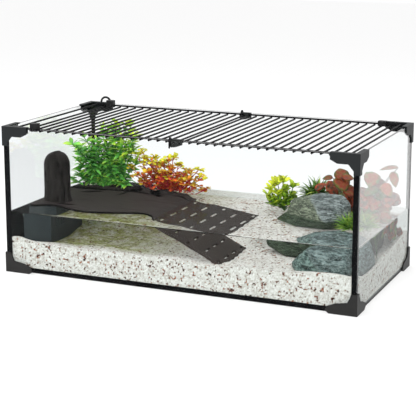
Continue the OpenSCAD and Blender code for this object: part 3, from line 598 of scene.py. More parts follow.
# Moulded deck: bark grooves, a ridge along its back edge and a lip that rolls down to the ramp
deckForm = {
    "x0": -291.0, "y0": -98.0, "length": 243.0, "depth": 184.0, "top": tank["deckZ"], "thick": 4.5,
    "outline": [
        (0.01, 0.07), (0.17, 0.11), (0.40, 0.01), (0.56, 0.02), (0.82, 0.14), (0.92, 0.10), (1.0, 0.02),
        (1.0, 0.80), (0.94, 0.90), (0.86, 0.97), (0.64, 0.97), (0.33, 1.0), (0.12, 0.96), (0.01, 0.86),
    ],
    "edgeRound": 3.2, "edgeDrop": 1.9, "lip": 20.0, "lipDrop": 3.4, "ridge": 5.4, "gully": 1.3,
    "creases": [  # x, y at both ends, width, depth
        (-257, 25, -221, 47, 4.6, 2.2), (-184, 28, -181, 63, 3.2, 2.3), (-140, 74, -110, 46, 6.0, 2.5),
        (-246, -62, -236, -63, 5.0, 2.8), (-240, -64, -214, -66, 2.6, 2.0), (-290, 54, -214, 61, 6.0, 2.3),
        (-226, 60, -156, 70, 4.6, 2.1), (-236, -30, -196, -22, 2.4, 0.8), (-172, -52, -118, -58, 1.5, 0.7),
        (-150, 6, -96, 14, 1.6, 0.8), (-120, -24, -78, -20, 1.4, 0.7),
    ],
    "lugs": [-71.0, 40.0], "lugSize": (3, 10, 15), "lugIn": 10, "columns": 180, "rows": 110,
}


def creaseDepth(x, y, creases, wander):
    depth = np.zeros_like(x)
    for x0, y0, x1, y1, width, deep in creases:
        run = math.hypot(x1 - x0, y1 - y0)
        along = ((x - x0) * (x1 - x0) + (y - y0) * (y1 - y0)) / run ** 2
        off = ((x - x0) * (y1 - y0) - (y - y0) * (x1 - x0)) / run + wander
        taper = np.clip(1 - (2 * along - 1) ** 2, 0, 1) ** 0.5
        depth = np.maximum(depth, deep * taper * np.exp(-(off / (width * (0.35 + 0.65 * taper))) ** 2))
    return depth


# Where the outline's front and back lie at each column
def outlineSpan(loop, xs):
    nextLoop = np.roll(loop, -1, axis=0)
    front, back = np.zeros((2, len(xs)))
    for i, x in enumerate(xs):
        cross = (loop[:, 0] - x) * (nextLoop[:, 0] - x) <= 0
        span = nextLoop[cross, 0] - loop[cross, 0]
        upright = np.abs(span) < 1e-9
        share = np.where(upright, 0.5, (x - loop[cross, 0]) / np.where(upright, 1, span))
        hits = loop[cross, 1] + (nextLoop[cross, 1] - loop[cross, 1]) * share
        front[i], back[i] = hits.min(), hits.max()
    front[-1], back[-1] = front[-2], back[-2]
    return front, back


def makeDeck():
    form = deckForm
    loop = smoothLoop(form["outline"], 6) * [form["length"], form["depth"]] + [form["x0"], form["y0"]]
    loop[:, 0] = np.clip(loop[:, 0], None, form["x0"] + form["length"])
    columns, rows = form["columns"], form["rows"]
    left, right = loop[:, 0].min(), loop[:, 0].max()
    sweep = 0.5 - 0.5 * np.cos(np.pi * np.linspace(0.02, 1, columns))
    xs = left + (right - left) * (0.55 * sweep + 0.45 * np.linspace(0.004, 1, columns))
    front, back = outlineSpan(loop, xs)
    shares = np.linspace(0, 1, rows)
    shares = 0.5 * shares + 0.5 * (0.5 - 0.5 * np.cos(np.pi * shares))
    x = np.repeat(xs[:, None], rows, 1)
    y = front[:, None] + (back - front)[:, None] * shares[None, :]
    flat = np.stack([x, y, np.zeros_like(x)], 2).reshape(-1, 3)
    wander = cloudAt(flat, 26, 2).reshape(x.shape) * 2.6
    bark = cloudAt(flat, 9, 4, 3.0, (3.2, 1, 1)).reshape(x.shape)
    swell = cloudAt(flat, 60, 2, 9.0).reshape(x.shape)

    fromBack = back[:, None] - y
    edge = np.minimum(np.minimum(y - front[:, None], fromBack), x - left + 0.2)
    roundOff = form["edgeDrop"] * (1 - np.sqrt(1 - (1 - np.clip(edge / form["edgeRound"], 0, 1)) ** 2))
    lip = np.clip((x - (right - form["lip"])) / form["lip"], 0, 1)
    lip = lip * lip * (3 - 2 * lip) * form["lipDrop"]
    # 1 where the ridge stands full, 0 beside the stump and at the lip
    away = np.clip((x - left - 60) / 20, 0, 1) * np.clip((right - 24 - x) / 30, 0, 1)
    ridge = form["ridge"] * np.exp(-((fromBack - 8 - 3 * swell) / (6.5 + 2.5 * swell)) ** 2)
    ridge = ridge * (0.35 + 0.65 * away) * (1 + 0.9 * bark)
    gully = form["gully"] * np.exp(-((fromBack - 19 - 6 * swell) / 2.6) ** 2)
    gully = gully * np.clip(0.6 + 2.2 * swell, 0, 1)
    crease = np.maximum(creaseDepth(x, y, form["creases"], wander), gully)
    grooves = 0.45 * bark + 0.35 * swell
    top = form["top"] - 0.35 + grooves - crease - roundOff - lip + ridge * np.clip(edge / 3, 0, 1)
    bottom = form["top"] - form["thick"]
    top = np.maximum(top, bottom + 1.0)

    upper = np.stack([x, y, top], 2).reshape(-1, 3)
    under = np.stack([x, y, np.full_like(x, bottom)], 2).reshape(-1, 3)
    count = columns * rows
    faces = [gridFaces(columns, rows, 0, flip=True), gridFaces(columns, rows, count)]
    rim = np.concatenate([np.arange(columns) * rows, (columns - 1) * rows + np.arange(1, rows),
                          np.arange(columns - 2, -1, -1) * rows + rows - 1, np.arange(rows - 2, 0, -1)])
    nextRim = np.roll(rim, -1)
    faces.append(np.stack([rim, rim + count, nextRim + count, nextRim], 1))
    verts = [upper, under]
    thick, wide, high = form["lugSize"]
    lug = np.array([[0, 0], [thick, 0], [thick, wide], [0, wide]])
    box = np.array([[3, 2, 1, 0], [4, 5, 6, 7], [0, 1, 5, 4], [1, 2, 6, 5], [2, 3, 7, 6], [3, 0, 4, 7]])
    for k, lugY in enumerate(form["lugs"]):  # the plates that the suction cups' stems meet
        base = lug + [form["x0"] + form["lugIn"], lugY - wide / 2]
        verts += [np.column_stack([base, np.full(4, z)]) for z in (bottom - high, bottom + 0.5)]
        faces.append(box + 2 * count + 8 * k)
    # Painted shade: darker in the creases and the gully, between the ridge and the back edge, and on the
    # rounded edges
    dark = np.clip(crease + np.exp(-((fromBack - 5) / 6) ** 2) * 0.85 * away, 0, 1)
    dark = np.maximum(dark, np.clip(1.5 - edge / form["edgeRound"], 0, 1) * 0.95)
    # the underside and the lugs get half of the painted shade
    shade = np.concatenate([dark.reshape(-1), np.full(count + 8 * len(form["lugs"]), 0.5)])
    newPiece("moulded_deck", np.vstack(verts) * mm, np.vstack(faces), deckBark,
             replaced=["deck"], values={"shade": shade})


makeDeck()

# Tree stump: a fluted hollow shell with a round top, knots and a flare at its foot
stumpForm = {
    "x": -260.0, "y": -43.0, "halfWidth": 23.2, "halfDepth": 16.2, "height": 83.6, "foot": 102.3, "wall": 2.2,
    "flare": 3.0, "flareReach": 5.0, "flutes": 11, "fluteDepth": 0.9, "straightShare": 0.6,
    "around": 150, "up": 110,
    "notch": 2.4, "notches": [(4, 2.2, 1.0), (-9, 2.5, 0.4)],  # place, width and share of the depth
    "knots": [  # x, z, radius, depth
        (-249.0, 163.5, 4.6, 1.6), (-240.5, 166.0, 4.6, 1.8), (-244.5, 151.0, 6.4, 2.0),
        (-252.5, 107.0, 4.4, 1.6), (-270.0, 134.0, 3.0, 0.7),
    ],
}


def stumpShell(inset):
    form = stumpForm
    angle = np.linspace(0, 2 * np.pi, form["around"], endpoint=False)
    straight = form["height"] - form["halfWidth"]
    share, straightShare = np.linspace(0, 1, form["up"]), form["straightShare"]
    arc = np.clip((share - straightShare) / (1 - straightShare), 0, 1) * np.pi / 2
    level = np.where(share < straightShare, share / straightShare * straight,
                     straight + form["halfWidth"] * np.sin(arc))
    a, z = np.meshgrid(angle, level)
    domed = np.sin(arc)[:, None]
    wide = np.maximum(np.cos(arc), 0.0)[:, None]
    deep = wide ** 0.38
    unit = np.stack([np.cos(a) * 3, np.sin(a) * 3, z / 30], 2).reshape(-1, 3)
    flow = cloudAt(unit, 1.0, 3).reshape(a.shape)
    fine = cloudAt(unit * [1, 1, 0.6], 0.32, 3, 5.0).reshape(a.shape)
    flute = form["fluteDepth"] * (0.8 * np.sin(form["flutes"] * a + 3.0 * flow) + 0.9 * flow + 0.8 * fine)
    flute = flute * (0.35 + 0.65 * wide)
    grown = 0.6 * flute + form["flare"] * np.exp(-z / form["flareReach"]) - inset
    x = form["x"] + (form["halfWidth"] + grown) * wide * np.cos(a)
    y = form["y"] + (form["halfDepth"] + grown) * deep * np.sin(a)
    height = form["foot"] + z - np.where(z > straight, inset * domed, 0) + (0.5 * fine * domed - 0.4)
    cut = sum(depth * np.exp(-((x - form["x"] - place) / width) ** 2)
              for place, width, depth in form["notches"])
    height -= form["notch"] * cut * domed ** 6
    # Painted shade in the flute grooves
    shade = np.clip(0.35 - 0.5 * flute, 0, 1)
    if inset == 0:
        for knotX, knotZ, radius, deepness in form["knots"]:
            facing = np.clip((form["y"] - y) / 5, 0, 1)
            off = np.hypot(x - knotX, (height - knotZ) * 0.85) / radius
            rim, pit = np.exp(-((off - 1.25) / 0.3) ** 2), np.exp(-(off / 0.75) ** 2)
            y = y - (0.8 * rim - deepness * pit) * facing
            # painted shade in the knots' pits
            shade = np.maximum(shade, np.exp(-(off / 0.8) ** 4) * facing)
    return np.stack([x, y, height], 2).reshape(-1, 3), shade.reshape(-1)


def makeStump():
    around, up = stumpForm["around"], stumpForm["up"]
    outer, outerShade = stumpShell(0)
    inner, innerShade = stumpShell(stumpForm["wall"])
    outer[:around, 2] = inner[:around, 2] = stumpForm["foot"]
    count = around * up
    ring = np.arange(around)
    foot = np.stack([ring, ring + count, np.roll(ring, -1) + count, np.roll(ring, -1)], 1)
    faces = [*gridFaces(up, around, 0, wrap=True), *gridFaces(up, around, count, flip=True, wrap=True), *foot]
    faces += [ring + count - around, (ring + 2 * count - around)[::-1]]
    newPiece("hollow_stump", np.vstack([outer, inner]) * mm, faces, stumpBark,
             replaced=["stump"], values={"shade": np.concatenate([outerShade, innerShade])})


makeStump()
print("deck and stump moulded")

# Slate rocks: CAD rocks remeshed finely and cut with layers, chips and pits, with a raised seam on the crease
rockForms = {
    "rock_back": {
        "name": "back_rock", "tilt": (0.35, -0.25, 0.9), "layer": 7.0, "seed": 2.0, "underwaterDark": 0.92,
        "crease": ((162.0, 128.0), (199.0, 100.0)),  # x and z at its ends
    },
    "rock_front": {
        "name": "front_rock", "tilt": (0.25, 0.2, 0.95), "layer": 6.0, "seed": 7.0, "underwaterDark": 0.0,
        "crease": ((196.0, 90.0), (236.0, 50.0)),
    },
}
rockCut = {"voxel": 1.5, "smooth": 3, "chip": 0.8, "seam": 0.8, "seamWidth": 1.7, "hollow": 1.6}


# The CAD rock's shape as a fine even mesh
def fineCopy(source):
    copy = bpy.data.objects.new("rockDraft", source.data.copy())
    copy.matrix_world = source.matrix_world
    bpy.context.collection.objects.link(copy)
    remesh = copy.modifiers.new("remesh", "REMESH")
    remesh.mode = "VOXEL"
    remesh.voxel_size = rockCut["voxel"] * mm
    copy.modifiers.new("smooth", "SMOOTH").iterations = rockCut["smooth"]
    mesh = bpy.data.meshes.new_from_object(copy.evaluated_get(bpy.context.evaluated_depsgraph_get()))
    mesh.transform(source.matrix_world)
    bpy.data.objects.remove(copy)
    return mesh


def makeRock(node, material):
    form, cutting = rockForms[node], rockCut
    mesh = fineCopy(frame["nodes"][node])
    points, normals = np.zeros((2, len(mesh.vertices) * 3))
    mesh.vertices.foreach_get("co", points)
    mesh.vertices.foreach_get("normal", normals)
    points, normals = points.reshape(-1, 3) / mm, normals.reshape(-1, 3)
    tilt = np.array(form["tilt"]) / np.linalg.norm(form["tilt"])
    drift = cloudAt(points, 34, 3, form["seed"])
    layer = points @ tilt / form["layer"] + 1.6 * drift
    step = layer - np.floor(layer)
    terrace = np.clip(step * 3, 0, 1) * (1 - step) ** 0.5
    rough = cloudAt(points, 11, 4, form["seed"] + 4)
    pits = cloudAt(points, 3.2, 3, form["seed"] + 8)
    (x0, z0), (x1, z1) = form["crease"]
    off = ((points[:, 0] - x0) * (z0 - z1) - (z0 - points[:, 2]) * (x1 - x0)) / math.hypot(x1 - x0, z0 - z1)
    facing = np.clip(-normals[:, 1] * 2 + 0.4, 0, 1)
    seam = np.exp(-(off / cutting["seamWidth"]) ** 2) * facing
    cut = cutting["chip"] * (0.9 * terrace + 1.1 * np.abs(rough) + 0.45 * np.abs(pits))
    cut += cutting["hollow"] * np.exp(-((off + 6) / 5.0) ** 2) * facing - cutting["seam"] * seam
    points -= normals * np.maximum(cut, -0.3)[:, None]
    # Darker and greener below the water's level, through the shade attribute
    underwaterDark = np.clip((tank["waterZ"] - points[:, 2]) / 4, 0, 1) * form["underwaterDark"]
    values = {
        "shade": np.clip((0.6 + 0.6 * rough - 0.3 * terrace * drift) * (1 - underwaterDark), 0, 1),
        "seam": seam * (1 - underwaterDark),
        "side": np.clip(0.5 + off / 5 + 0.8 * rough, 0, 1),
    }
    faces = [polygon.vertices for polygon in mesh.polygons]
    newPiece(form["name"], points * mm, faces, material, replaced=[node], values=values)


makeRock("rock_back", rockBackSlate)
makeRock("rock_front", rockFrontSlate)
print("rocks cut")

# Leaves are thin closed forms: a row of six-point rings from base to tip, with these shares of the width
leafShapes = {
    "lance": (0.16, 0.50, 0.84, 1.0, 0.92, 0.68, 0.36, 0.06),
    "spoon": (0.14, 0.20, 0.42, 0.78, 1.0, 0.98, 0.74, 0.22),
    "paddle": (0.26, 0.44, 0.74, 0.96, 1.0, 0.98, 0.86, 0.42),
    "blade": (0.55, 0.85, 1.0, 0.96, 0.82, 0.60, 0.34, 0.05),
    "heart": (0.30, 0.88, 1.0, 1.0, 0.92, 0.74, 0.46, 0.10),
}


def addPoints(plant, verts, **values):
    plant["verts"].append(verts)
    for key, value in values.items():
        plant[key].append(np.broadcast_to(value, len(verts)))
    plant["count"] += len(verts)


# A closed tube of rings, with its first and last ring as caps
def tubeFaces(rows, around, start):
    ring = np.arange(around) + start
    return [*gridFaces(rows, around, start, wrap=True), ring[::-1], ring + (rows - 1) * around]


# Directions of leaves: along, to the side and up, from their turn about the stem, their lift and their roll
def spin(turn, lift, roll):
    flat, high = np.cos(lift), np.sin(lift)
    along = np.stack([np.cos(turn) * flat, np.sin(turn) * flat, high], 1)
    side = np.stack([-np.sin(turn), np.cos(turn), np.zeros_like(turn)], 1)
    up = np.cross(along, side)
    rollCos, rollSin = np.cos(roll)[:, None], np.sin(roll)[:, None]
    return along, side * rollCos + up * rollSin, up * rollCos - side * rollSin


def addLeaves(plant, draw, at, count, turn, lift, length, width, shape, age,
              curl=0.5, fold=0.25, thick=0.55, axes=None):
    turn, lift, length, width, age = (
        np.broadcast_to(value, count) for value in (turn, lift, length, width, age)
    )
    along, side, up = axes or spin(turn, lift, draw.normal(0, 0.35, count))
    bend = curl * draw.uniform(0.5, 1.5, count) + 1e-3
    outline = leafShapes[shape]
    shares = np.linspace(0, 1, len(outline))
    across = np.array([-1, -0.5, 0, 0.5, 1, 0])
    raised = np.array([0, 0.5, 0.25, 0.5, 0, -0.5]) * thick
    rings = []
    for share, half in zip(shares, outline):
        arc = bend * share
        centre = (at + along * (length * np.sin(arc) / bend)[:, None]
                  - up * (length * (1 - np.cos(arc)) / bend)[:, None])
        normal = up * np.cos(arc)[:, None] + along * np.sin(arc)[:, None]
        halfWidth = width / 2 * half
        for place, rise in zip(across, raised):
            height = fold * halfWidth * abs(place) + rise * (0.4 + 0.6 * half)
            rings.append(centre + side * (halfWidth * place)[:, None] + normal * height[:, None])
    size = len(rings)
    starts = plant["count"] + np.arange(count) * size
    quads = gridFaces(len(outline), len(across), wrap=True)
    plant["faces"] += list((quads[None] + starts[:, None, None]).reshape(-1, 4))
    plant["faces"] += [range(start + 5, start - 1, -1) for start in starts]
    plant["faces"] += [range(start + size - 6, start + size) for start in starts]
    tipward = np.repeat(shares, len(across))
    if axes:  # leaves seen from their face turn to the tip's colour along the rim too
        tipward = np.maximum.outer(shares ** 2, np.abs(across) ** 1.3).reshape(-1)
    tone = np.repeat(draw.uniform(0, 1, count), size)
    addPoints(plant, np.stack(rings, 1).reshape(-1, 3), along=np.tile(tipward, count), tone=tone,
              age=np.repeat(age, size))


def addStem(plant, points, radius, age, sides=6):
    count = len(points)
    tangent = np.gradient(points, axis=0)
    tangent /= np.linalg.norm(tangent, axis=1)[:, None]
    helper = np.array([0.0, 1.0, 0.0]) if abs(tangent[0][1]) < 0.8 else np.array([1.0, 0.0, 0.0])
    side = np.cross(tangent, helper)
    side /= np.linalg.norm(side, axis=1)[:, None]
    other = np.cross(tangent, side)
    turn = np.linspace(0, 2 * np.pi, sides, endpoint=False)
    circle = side[:, None] * np.cos(turn)[None, :, None] + other[:, None] * np.sin(turn)[None, :, None]
    rings = points[:, None] + circle * (radius * np.linspace(1, 0.6, count))[:, None, None]
    plant["faces"] += tubeFaces(count, sides, plant["count"])
    addPoints(plant, rings.reshape(-1, 3), along=0.0, tone=0.3, age=age)


# A place on a stem that rises first and leans out later
def leanPoint(root, tip, t):
    t = np.atleast_1d(t)
    out = t ** 1.6
    return np.stack([root[0] + (tip[0] - root[0]) * out, root[1] + (tip[1] - root[1]) * out,
                     root[2] + (tip[2] - root[2]) * t], 1)


def growStem(plant, root, end, rings, radius, age, sides=6):
    addStem(plant, leanPoint(root, end, np.linspace(0, 1, rings)), radius, age, sides)


# A plant starts with its weighted foot in the gravel, as rings of radius and height
footForm = {"rings": [(9, -22), (9, -1.2), (8.2, -0.2), (4, 0)], "around": 20, "below": 2}


def startPlant(form):
    x, y = form["at"]
    top = ground(x, y) - footForm["below"]
    turn = np.linspace(0, 2 * np.pi, footForm["around"], endpoint=False)
    rings = [(x + radius * math.cos(a), y + radius * math.sin(a), top + z)
             for radius, z in footForm["rings"] for a in turn]
    plant = {"verts": [], "faces": [], "along": [], "tone": [], "age": [], "count": 0}
    plant["faces"] += tubeFaces(len(footForm["rings"]), footForm["around"], 0)
    addPoints(plant, np.array(rings), along=0.0, tone=0.0, age=0.0)
    return plant, np.random.default_rng(form["seed"]), np.array([x, y, top - 1])


def finishPlant(plant, name, material, node):
    verts = np.vstack(plant["verts"])
    insideX, insideY = tank["inX"] - 0.6, tank["inY"] - 0.6
    verts[:, 0] = np.clip(verts[:, 0], -insideX, insideX)
    verts[:, 1] = np.clip(verts[:, 1], -insideY, insideY)
    values = {key: np.concatenate(plant[key]) for key in ("along", "tone", "age")}
    newPiece(name, verts * mm, plant["faces"], material, replaced=[node], values=values)


# In a plant's form a tip is its x and y from the foot, and its height, and "leafy" holds the shares of a
# stem that are bare and that carry leaves
tallForm = {
    "at": (-232.0, 106.0), "seed": 11, "tiers": 12, "leafy": (0.34, 0.65), "leaf": (24.0, 7.8), "underLid": 226,
    "fringe": {"from": -288, "to": -196, "count": 14, "leaf": (19.0, 7.2)},
    "hanging": {"at": (-243, 91, 116), "leaf": (19, 7.5)},
    "tips": [
        (-40, -6, 176), (-28, 8, 196), (-12, -10, 206), (2, 6, 214), (17, -8, 210), (33, 2, 208),
        (48, -14, 190), (-44, -70, 184), (-40, -40, 168), (-47, 2, 152), (-22, -18, 184), (8, -20, 190),
        (26, -18, 176), (43, -4, 168), (-34, -16, 160), (-4, 14, 200), (38, 12, 190), (24, 8, 219),
        (-52, -12, 140), (-50, -40, 130), (-49, -42, 148), (-50, -34, 162), (-46, -44, 124),
        (-47, -46, 172), (-46, -24, 188), (-18, -30, 166), (6, -28, 150), (30, -24, 152), (52, -8, 150),
        (-48, -40, 146), (-8, -14, 172),
    ],
}


def makeTall():
    tiers, count, (leafLength, leafWidth) = tallForm["tiers"], 4, tallForm["leaf"]
    bare, leafyShare = tallForm["leafy"]
    plant, draw, root = startPlant(tallForm)
    for s, tip in enumerate(tallForm["tips"]):
        end = root * [1, 1, 0] + tip
        growStem(plant, root, end, 9, 1.2, 0.15)
        for k in range(tiers):
            at = leanPoint(root, end, bare + leafyShare * k / (tiers - 1))[0]
            if at[2] < tank["deckZ"] + 5 and at[1] < 96:
                continue
            high = 0.42 * max(0, (at[2] - 110) / 100)
            rightward = 0.26 * np.clip((at[0] - root[0]) / 50, -0.4, 1) * (at[2] > 140)
            age = 0.08 + high + rightward + draw.normal(0, 0.12, count) + (0.22 if k > tiers - 3 else 0)
            lift = np.radians(-18 + 62 * (k / tiers) ** 1.4 + draw.normal(0, 15, count))
            length = (leafLength - 5 * (k / tiers) ** 2) * draw.uniform(0.7, 1.1, count)
            lift = np.where(at[2] + length * np.sin(lift) > tallForm["underLid"], 0.0, lift)
            lift = np.where(at[2] + length * np.sin(lift) < tank["deckZ"] + 2, 0.1, lift)
            turn = np.radians(k * 47 + s * 25 + np.arange(count) * 90 + draw.normal(0, 14, count))
            addLeaves(plant, draw, at, count, turn, lift, length, leafWidth * draw.uniform(0.8, 1.1, count),
                      "lance", np.clip(age, 0, 1))
    low, count = tallForm["fringe"], 6
    for x in np.linspace(low["from"], low["to"], low["count"]):  # low leaves over the deck's back edge
        end = np.array([x, 84 - 24 * np.clip((-262 - x) / 26, 0, 1), 109 + draw.uniform(-1, 8)])
        growStem(plant, root, end, 9, 1.0, 0.15)
        turn = np.radians(-90 + np.linspace(-75, 75, count) + draw.normal(0, 12, count))
        addLeaves(plant, draw, end, count, turn, np.radians(draw.uniform(-6, 40, count)),
                  low["leaf"][0] * draw.uniform(0.8, 1.1, count), low["leaf"][1], "lance",
                  np.clip(draw.normal(0.34, 0.16, count), 0, 1), curl=0.35)
    hanging = tallForm["hanging"]  # one leaf over the deck's edge
    addLeaves(plant, draw, hanging["at"], 1, math.radians(-80), math.radians(-25),
              *hanging["leaf"], "lance", 0.55)
    finishPlant(plant, "tall_plant", tallLeaf, "plant_tall")


redForm = {
    "at": (-122.0, 104.0), "seed": 12, "leaf": (10.8, 8.6), "twigs": 7, "leafy": (0.46, 0.54),
    "tips": [
        (-62, -8, 160), (-50, -6, 168), (-36, -12, 156), (-20, -10, 152), (-6, -8, 150), (12, -8, 163),
        (22, -8, 148), (38, -12, 140), (60, -10, 142), (70, -12, 132), (78, -12, 112), (-66, -14, 138),
        (-54, -20, 126), (-28, -24, 134), (0, -26, 136), (10, -28, 128), (26, -24, 122), (46, -20, 126),
        (58, -20, 114), (-44, -20, 114), (-10, -26, 112), (16, -26, 108), (-40, 8, 146), (34, 8, 136),
        (-6, 10, 156),
    ],
}


def makeRed():
    twigs, count, (leafLength, leafWidth) = redForm["twigs"], 5, redForm["leaf"]
    bare, leafyShare = redForm["leafy"]
    plant, draw, root = startPlant(redForm)
    for s, tip in enumerate(redForm["tips"]):
        end = root * [1, 1, 0] + tip
        growStem(plant, root, end, 8, 1.1, 0.1)
        for k in range(twigs + 1):
            start = leanPoint(root, end, min(bare + leafyShare * k / twigs, 1))[0]
            if start[2] < tank["deckZ"] - 6 or (start[2] < tank["deckZ"] + 3 and start[1] < 92):
                continue
            turn = math.radians(s * 40 + k * 137.5)
            reach = 0 if k == twigs else draw.uniform(7, 13)
            head = start + np.array([math.cos(turn) * reach, math.sin(turn) * reach * 0.8, reach * 0.5 + 1])
            if reach:
                addStem(plant, np.array([start, (start + head) / 2 + [0, 0, 0.8], head]), 0.8, 0.25, sides=5)
            high = 0.62 * np.clip((head[2] - 106) / 52, 0, 1)
            outward = 0.42 * np.clip(np.hypot(head[0] - root[0], head[2] - 100) / 72, 0, 1) ** 2
            age = high + outward + draw.normal(0, 0.15, count) + (0.2 if k == twigs else 0)
            addLeaves(plant, draw, head, count,
                      np.radians(np.arange(count) * 72 + draw.normal(0, 12, count) + k * 31),
                      np.radians(draw.uniform(0, 65, count)), leafLength * draw.uniform(0.75, 1.1, count),
                      leafWidth * draw.uniform(0.75, 1.05, count), "spoon", np.clip(age, 0, 1),
                      curl=0.7, fold=0.35)
    finishPlant(plant, "red_plant", redLeaf, "plant_red")


paddleForm = {
    "at": (98.0, 92.0), "seed": 13, "leaf": (17.0, 8.2),
    "tips": [
        (-13, 0, 134), (-3, -2, 139), (15, 0, 131), (3, -4, 126), (-27, 0, 123), (-30, -2, 112),
        (-11, -6, 117), (-26, -6, 103), (-8, -8, 103), (13, -4, 116), (21, -2, 107), (-16, -10, 92),
        (-20, 2, 130), (5, -8, 108),
    ],
    "whorls": [(0.74, 4, 0, 0.0), (0.96, 6, 12, 0.14)],  # place on the stem, leaves, more lift, more age
}


def makePaddle():
    leafLength, leafWidth = paddleForm["leaf"]
    plant, draw, root = startPlant(paddleForm)
    for s, tip in enumerate(paddleForm["tips"]):
        end = root * [1, 1, 0] + tip
        growStem(plant, root, end, 8, 1.3, 0.1)
        for k, (place, count, moreLift, moreAge) in enumerate(paddleForm["whorls"]):
            at = leanPoint(root, end, place)[0]
            high = np.clip((at[2] - 90) / 36, 0, 1) * np.clip((118 - at[0]) / 30, 0.3, 1)
            age = 0.06 + 0.78 * high + moreAge + draw.normal(0, 0.10, count)
            turn = np.radians(np.arange(count) * 360 / count + k * 65 + s * 40 + draw.normal(0, 12, count))
            addLeaves(plant, draw, at, count, turn, np.radians(draw.uniform(18, 62, count) + moreLift),
                      leafLength * draw.uniform(0.8, 1.15, count), leafWidth * draw.uniform(0.85, 1.1, count),
                      "paddle", np.clip(age, 0, 1), curl=0.45, fold=0.3, thick=0.7)
    finishPlant(plant, "paddle_plant", paddleLeaf, "plant_paddle")


spikyForm = {
    "at": (148.0, 104.0), "seed": 14, "leaf": (37.0, 4.4), "balls": [(-5, 2, 119), (6, -2, 124), (2, 4, 115)],
    "count": 50, "spread": 102,
}
tuftForm = {
    "at": (252.0, 0.0), "seed": 16, "leaf": (29.0, 2.9),
    "balls": [(-12, -4, 98), (2, 3, 104), (12, -6, 100), (-6, -12, 90)],
    "count": 74, "spread": 84,
}


# Blades that spread from a few balls, turned by the golden angle
def makeSpikes(form, name, material, node):
    count, (leafLength, leafWidth) = form["count"], form["leaf"]
    plant, draw, root = startPlant(form)
    for ball in form["balls"]:
        end = root * [1, 1, 0] + ball
        growStem(plant, root, end, 7, 1.4, 0.1)
        order = np.arange(count)
        lift = np.radians(90 - form["spread"] * np.sqrt((order + 0.5) / count)) + draw.normal(0, 0.10, count)
        addLeaves(plant, draw, end - [0, 0, 2], count, np.radians(order * 137.5), lift,
                  leafLength * draw.uniform(0.7, 1.05, count), leafWidth * draw.uniform(0.8, 1.2, count),
                  "blade", np.clip(draw.normal(0.35, 0.22, count), 0, 1), curl=0.45, fold=0.4)
    finishPlant(plant, name, material, node)


broadForm = {
    "at": (224.0, 100.0), "seed": 15,
    "right": (0.9155, 0.402, 0.0), "front": (0.402, -0.9155, 0.0),  # as the photograph sees them
    "leaves": [  # middle of the leaf, its heading and turn to the front in degrees, length, width, age
        (177, 78, 154, 175, 25, 17, 14, 0.56), (199, 82, 162, 100, 50, 23, 25, 0.40),
        (204, 74, 148, -70, 48, 28, 28, 0.55), (164, 84, 138, 40, 50, 24, 12, 0.06),
        (179, 86, 138, -120, 45, 22, 16, 0.04), (188, 80, 131, -50, 45, 20, 17, 0.08),
        (213, 78, 158, 10, 35, 20, 17, 0.50), (216, 78, 134, -40, 50, 24, 21, 0.28),
        (250, 72, 158, -110, 50, 27, 27, 0.50), (264, 80, 148, -30, 45, 24, 22, 0.34),
        (279, 60, 146, -60, 50, 24, 20, 0.46), (272, 92, 176, 175, 12, 30, 17, 0.56),
        (283, 88, 158, -80, 60, 26, 15, 0.50), (238, 82, 128, -60, 45, 26, 24, 0.40),
        (258, 60, 122, -100, 45, 27, 24, 0.30), (272, 70, 114, -50, 45, 27, 23, 0.42),
        (280, 56, 100, -60, 50, 26, 20, 0.50), (246, 88, 106, -100, 50, 26, 20, 0.30),
    ],
    "fill": 84, "fillAges": [0.0, 0.04, 0.10, 0.18, 0.95, 1.0], "rockEnd": 238,
}


def makeBroad():
    plant, draw, root = startPlant(broadForm)
    leaves = [tuple(map(float, leaf)) for leaf in broadForm["leaves"]]
    for _ in range(broadForm["fill"]):  # more leaves fill the plant down to the gravel, behind the rock
        x = draw.uniform(176, 282)
        overRock = x < broadForm["rockEnd"]
        y = draw.uniform(88, 122) if overRock else draw.uniform(34, 118)
        leaves.append((x, y, draw.uniform(66, 128 if overRock else 142), -90 + draw.uniform(-90, 90),
                       draw.uniform(20, 62), draw.uniform(18, 27), draw.uniform(15, 22),
                       draw.choice(broadForm["fillAges"])))
    right, front = np.array(broadForm["right"]), np.array(broadForm["front"])
    for x, y, z, heading, turn, length, width, age in leaves:
        heading, turn = math.radians(heading), math.radians(turn)
        up = math.cos(turn) * np.array([0.0, 0.0, 1.0]) + math.sin(turn) * front
        along = math.cos(heading) * right + math.sin(heading) * np.cross(up, right)
        start = np.array([x, y, z]) - along * length / 2
        start[0] = min(start[0], tank["inX"] - 6)
        growStem(plant, root, start, 8, 1.0, 0.2, sides=5)
        axes = along[None], np.cross(up, along)[None], up[None]
        addLeaves(plant, draw, start, 1, 0, 0, length, width, "heart", age,
                  curl=0.4, fold=0.12, thick=0.6, axes=axes)
    finishPlant(plant, "broad_plant", broadLeaf, "plant_broad")


makeTall()
makeRed()
makePaddle()
makeSpikes(spikyForm, "spiky_plant", spikyLeaf, "plant_spiky")
makeSpikes(tuftForm, "tuft_plant", tuftLeaf, "plant_tuft")
makeBroad()
print("plants grown")

# Deck and ramp let the lamps' light down to the gravel, as in the photograph
for name in ("moulded_deck", "ramp"):
    next(o for o in bpy.data.objects if o.name == name).visible_shadow = False

# Water with a small upturned edge along the panes
waterBody = {"gap": 0.12, "bottom": 0.6, "edge": 1.6, "rise": 1.3, "rings": 4}


def makeWater():
    x, y = tank["inX"] - waterBody["gap"], tank["inY"] - waterBody["gap"]
    rise, count = waterBody["rise"], waterBody["rings"]
    rings = [(x, y, tank["floorZ"] + waterBody["bottom"])]
    for k in range(count + 1):
        inset = waterBody["edge"] * (k / count)
        rings.append((x - inset, y - inset, tank["waterZ"] + rise * (1 - k / count) ** 2))
    verts = [corner for x, y, z in rings for corner in ((-x, -y, z), (x, -y, z), (x, y, z), (-x, y, z))]
    faces = tubeFaces(len(rings), 4, 0)
    newPiece("tankWater", np.array(verts) * mm, faces, tankWater, smooth=False)


makeWater()
print("water poured")

